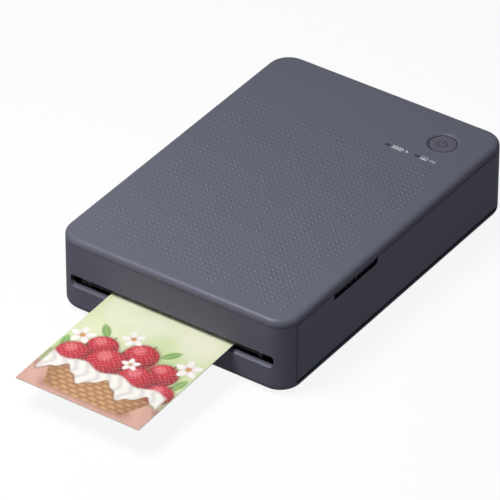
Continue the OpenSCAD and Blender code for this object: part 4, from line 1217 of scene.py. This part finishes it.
def bar(x0, y0, x1, y1):
    """A rectangle between two corners."""
    return [(x0, y0), (x1, y0), (x1, y1), (x0, y1)]


def frame_of_bars(x0, y0, x1, y1):
    """Four thin bars along the inside of a rectangle."""
    t = MARK_LINE
    return [
        bar(x0, y0, x1, y0 + t),
        bar(x0, y1 - t, x1, y1),
        bar(x0, y0 + t, x0 + t, y1 - t),
        bar(x1 - t, y0 + t, x1, y1 - t),
    ]


def battery_mark():
    """A battery with three charge bars and a flash beside it."""
    shapes = frame_of_bars(0, -MARK_HALF, BATTERY_LENGTH, MARK_HALF)
    tip = BATTERY_LENGTH + BATTERY_CAP
    shapes.append(bar(BATTERY_LENGTH, -BATTERY_CAP, tip, BATTERY_CAP))
    for i in range(CHARGE_BARS):
        x = CHARGE_START + CHARGE_PITCH * i
        shapes.append(bar(x, -CHARGE_HALF, x + CHARGE_WIDTH, CHARGE_HALF))
    return shapes + [FLASH_UPPER, FLASH_LOWER]


def sheet_mark():
    """A picture sheet with a hill, and an arrow out of it."""
    shapes = frame_of_bars(0, -MARK_HALF, SHEET_LENGTH, MARK_HALF)
    return shapes + [HILL, bar(*ARROW_SHAFT), ARROW_HEAD, bar(*STOP_LINE)]


def add_plate(bm, corners, drop):
    """A thin closed plate under these corners, as thick as the drop."""
    up = [bm.verts.new(corner) for corner in corners]
    down = [bm.verts.new(corner - drop) for corner in corners]
    bm.faces.new(up)
    bm.faces.new(list(reversed(down)))
    for i, corner in enumerate(up):
        after = (i + 1) % len(up)
        bm.faces.new((up[after], corner, down[i], down[after]))


def make_mark(name, shapes, place, lid):
    """Thin printed shapes that lie on the lid's crowned top."""
    tree = BVHTree.FromPolygons(
        [v.co for v in lid.data.vertices], [p.vertices for p in lid.data.polygons]
    )
    down = Vector((0, 0, -1))
    lift = Vector((0, 0, MARK_LIFT * MM))
    bm = bmesh.new()
    for shape in shapes:
        starts = [
            Vector(((place[0] + x) * MM, (place[1] + y) * MM, MARK_START)) for x, y in shape
        ]
        add_plate(bm, [tree.ray_cast(start, down)[0] + lift for start in starts], 2 * lift)
    bmesh.ops.recalc_face_normals(bm, faces=bm.faces)
    mesh = bpy.data.meshes.new(name)
    bm.to_mesh(mesh)
    bm.free()
    mesh.materials.append(label_ink())
    piece = bpy.data.objects.new(name, mesh)
    bpy.context.scene.collection.objects.link(piece)
    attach(piece, "cover")


# ---------------------------------------------------------------- the scene


def corners():
    """The shown object's lowest and highest corner, as plain lists."""
    return [list(corner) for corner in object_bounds()]


make_camera()
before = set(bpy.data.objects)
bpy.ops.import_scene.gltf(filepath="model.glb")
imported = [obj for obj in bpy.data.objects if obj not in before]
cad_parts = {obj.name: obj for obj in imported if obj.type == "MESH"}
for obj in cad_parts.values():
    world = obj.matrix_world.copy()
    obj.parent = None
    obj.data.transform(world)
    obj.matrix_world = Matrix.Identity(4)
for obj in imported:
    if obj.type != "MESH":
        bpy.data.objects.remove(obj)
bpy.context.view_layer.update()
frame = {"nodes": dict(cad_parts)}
bpy.context.scene.view_settings.view_transform = "Standard"
make_world()
make_floor()
make_lights()
finish_nodes(frame["nodes"])
make_print(frame["nodes"]["photo_print"])
make_mark("battery_mark", battery_mark(), BATTERY_PLACE, frame["nodes"]["top_cover"])
make_mark("sheet_mark", sheet_mark(), SHEET_PLACE, frame["nodes"]["top_cover"])
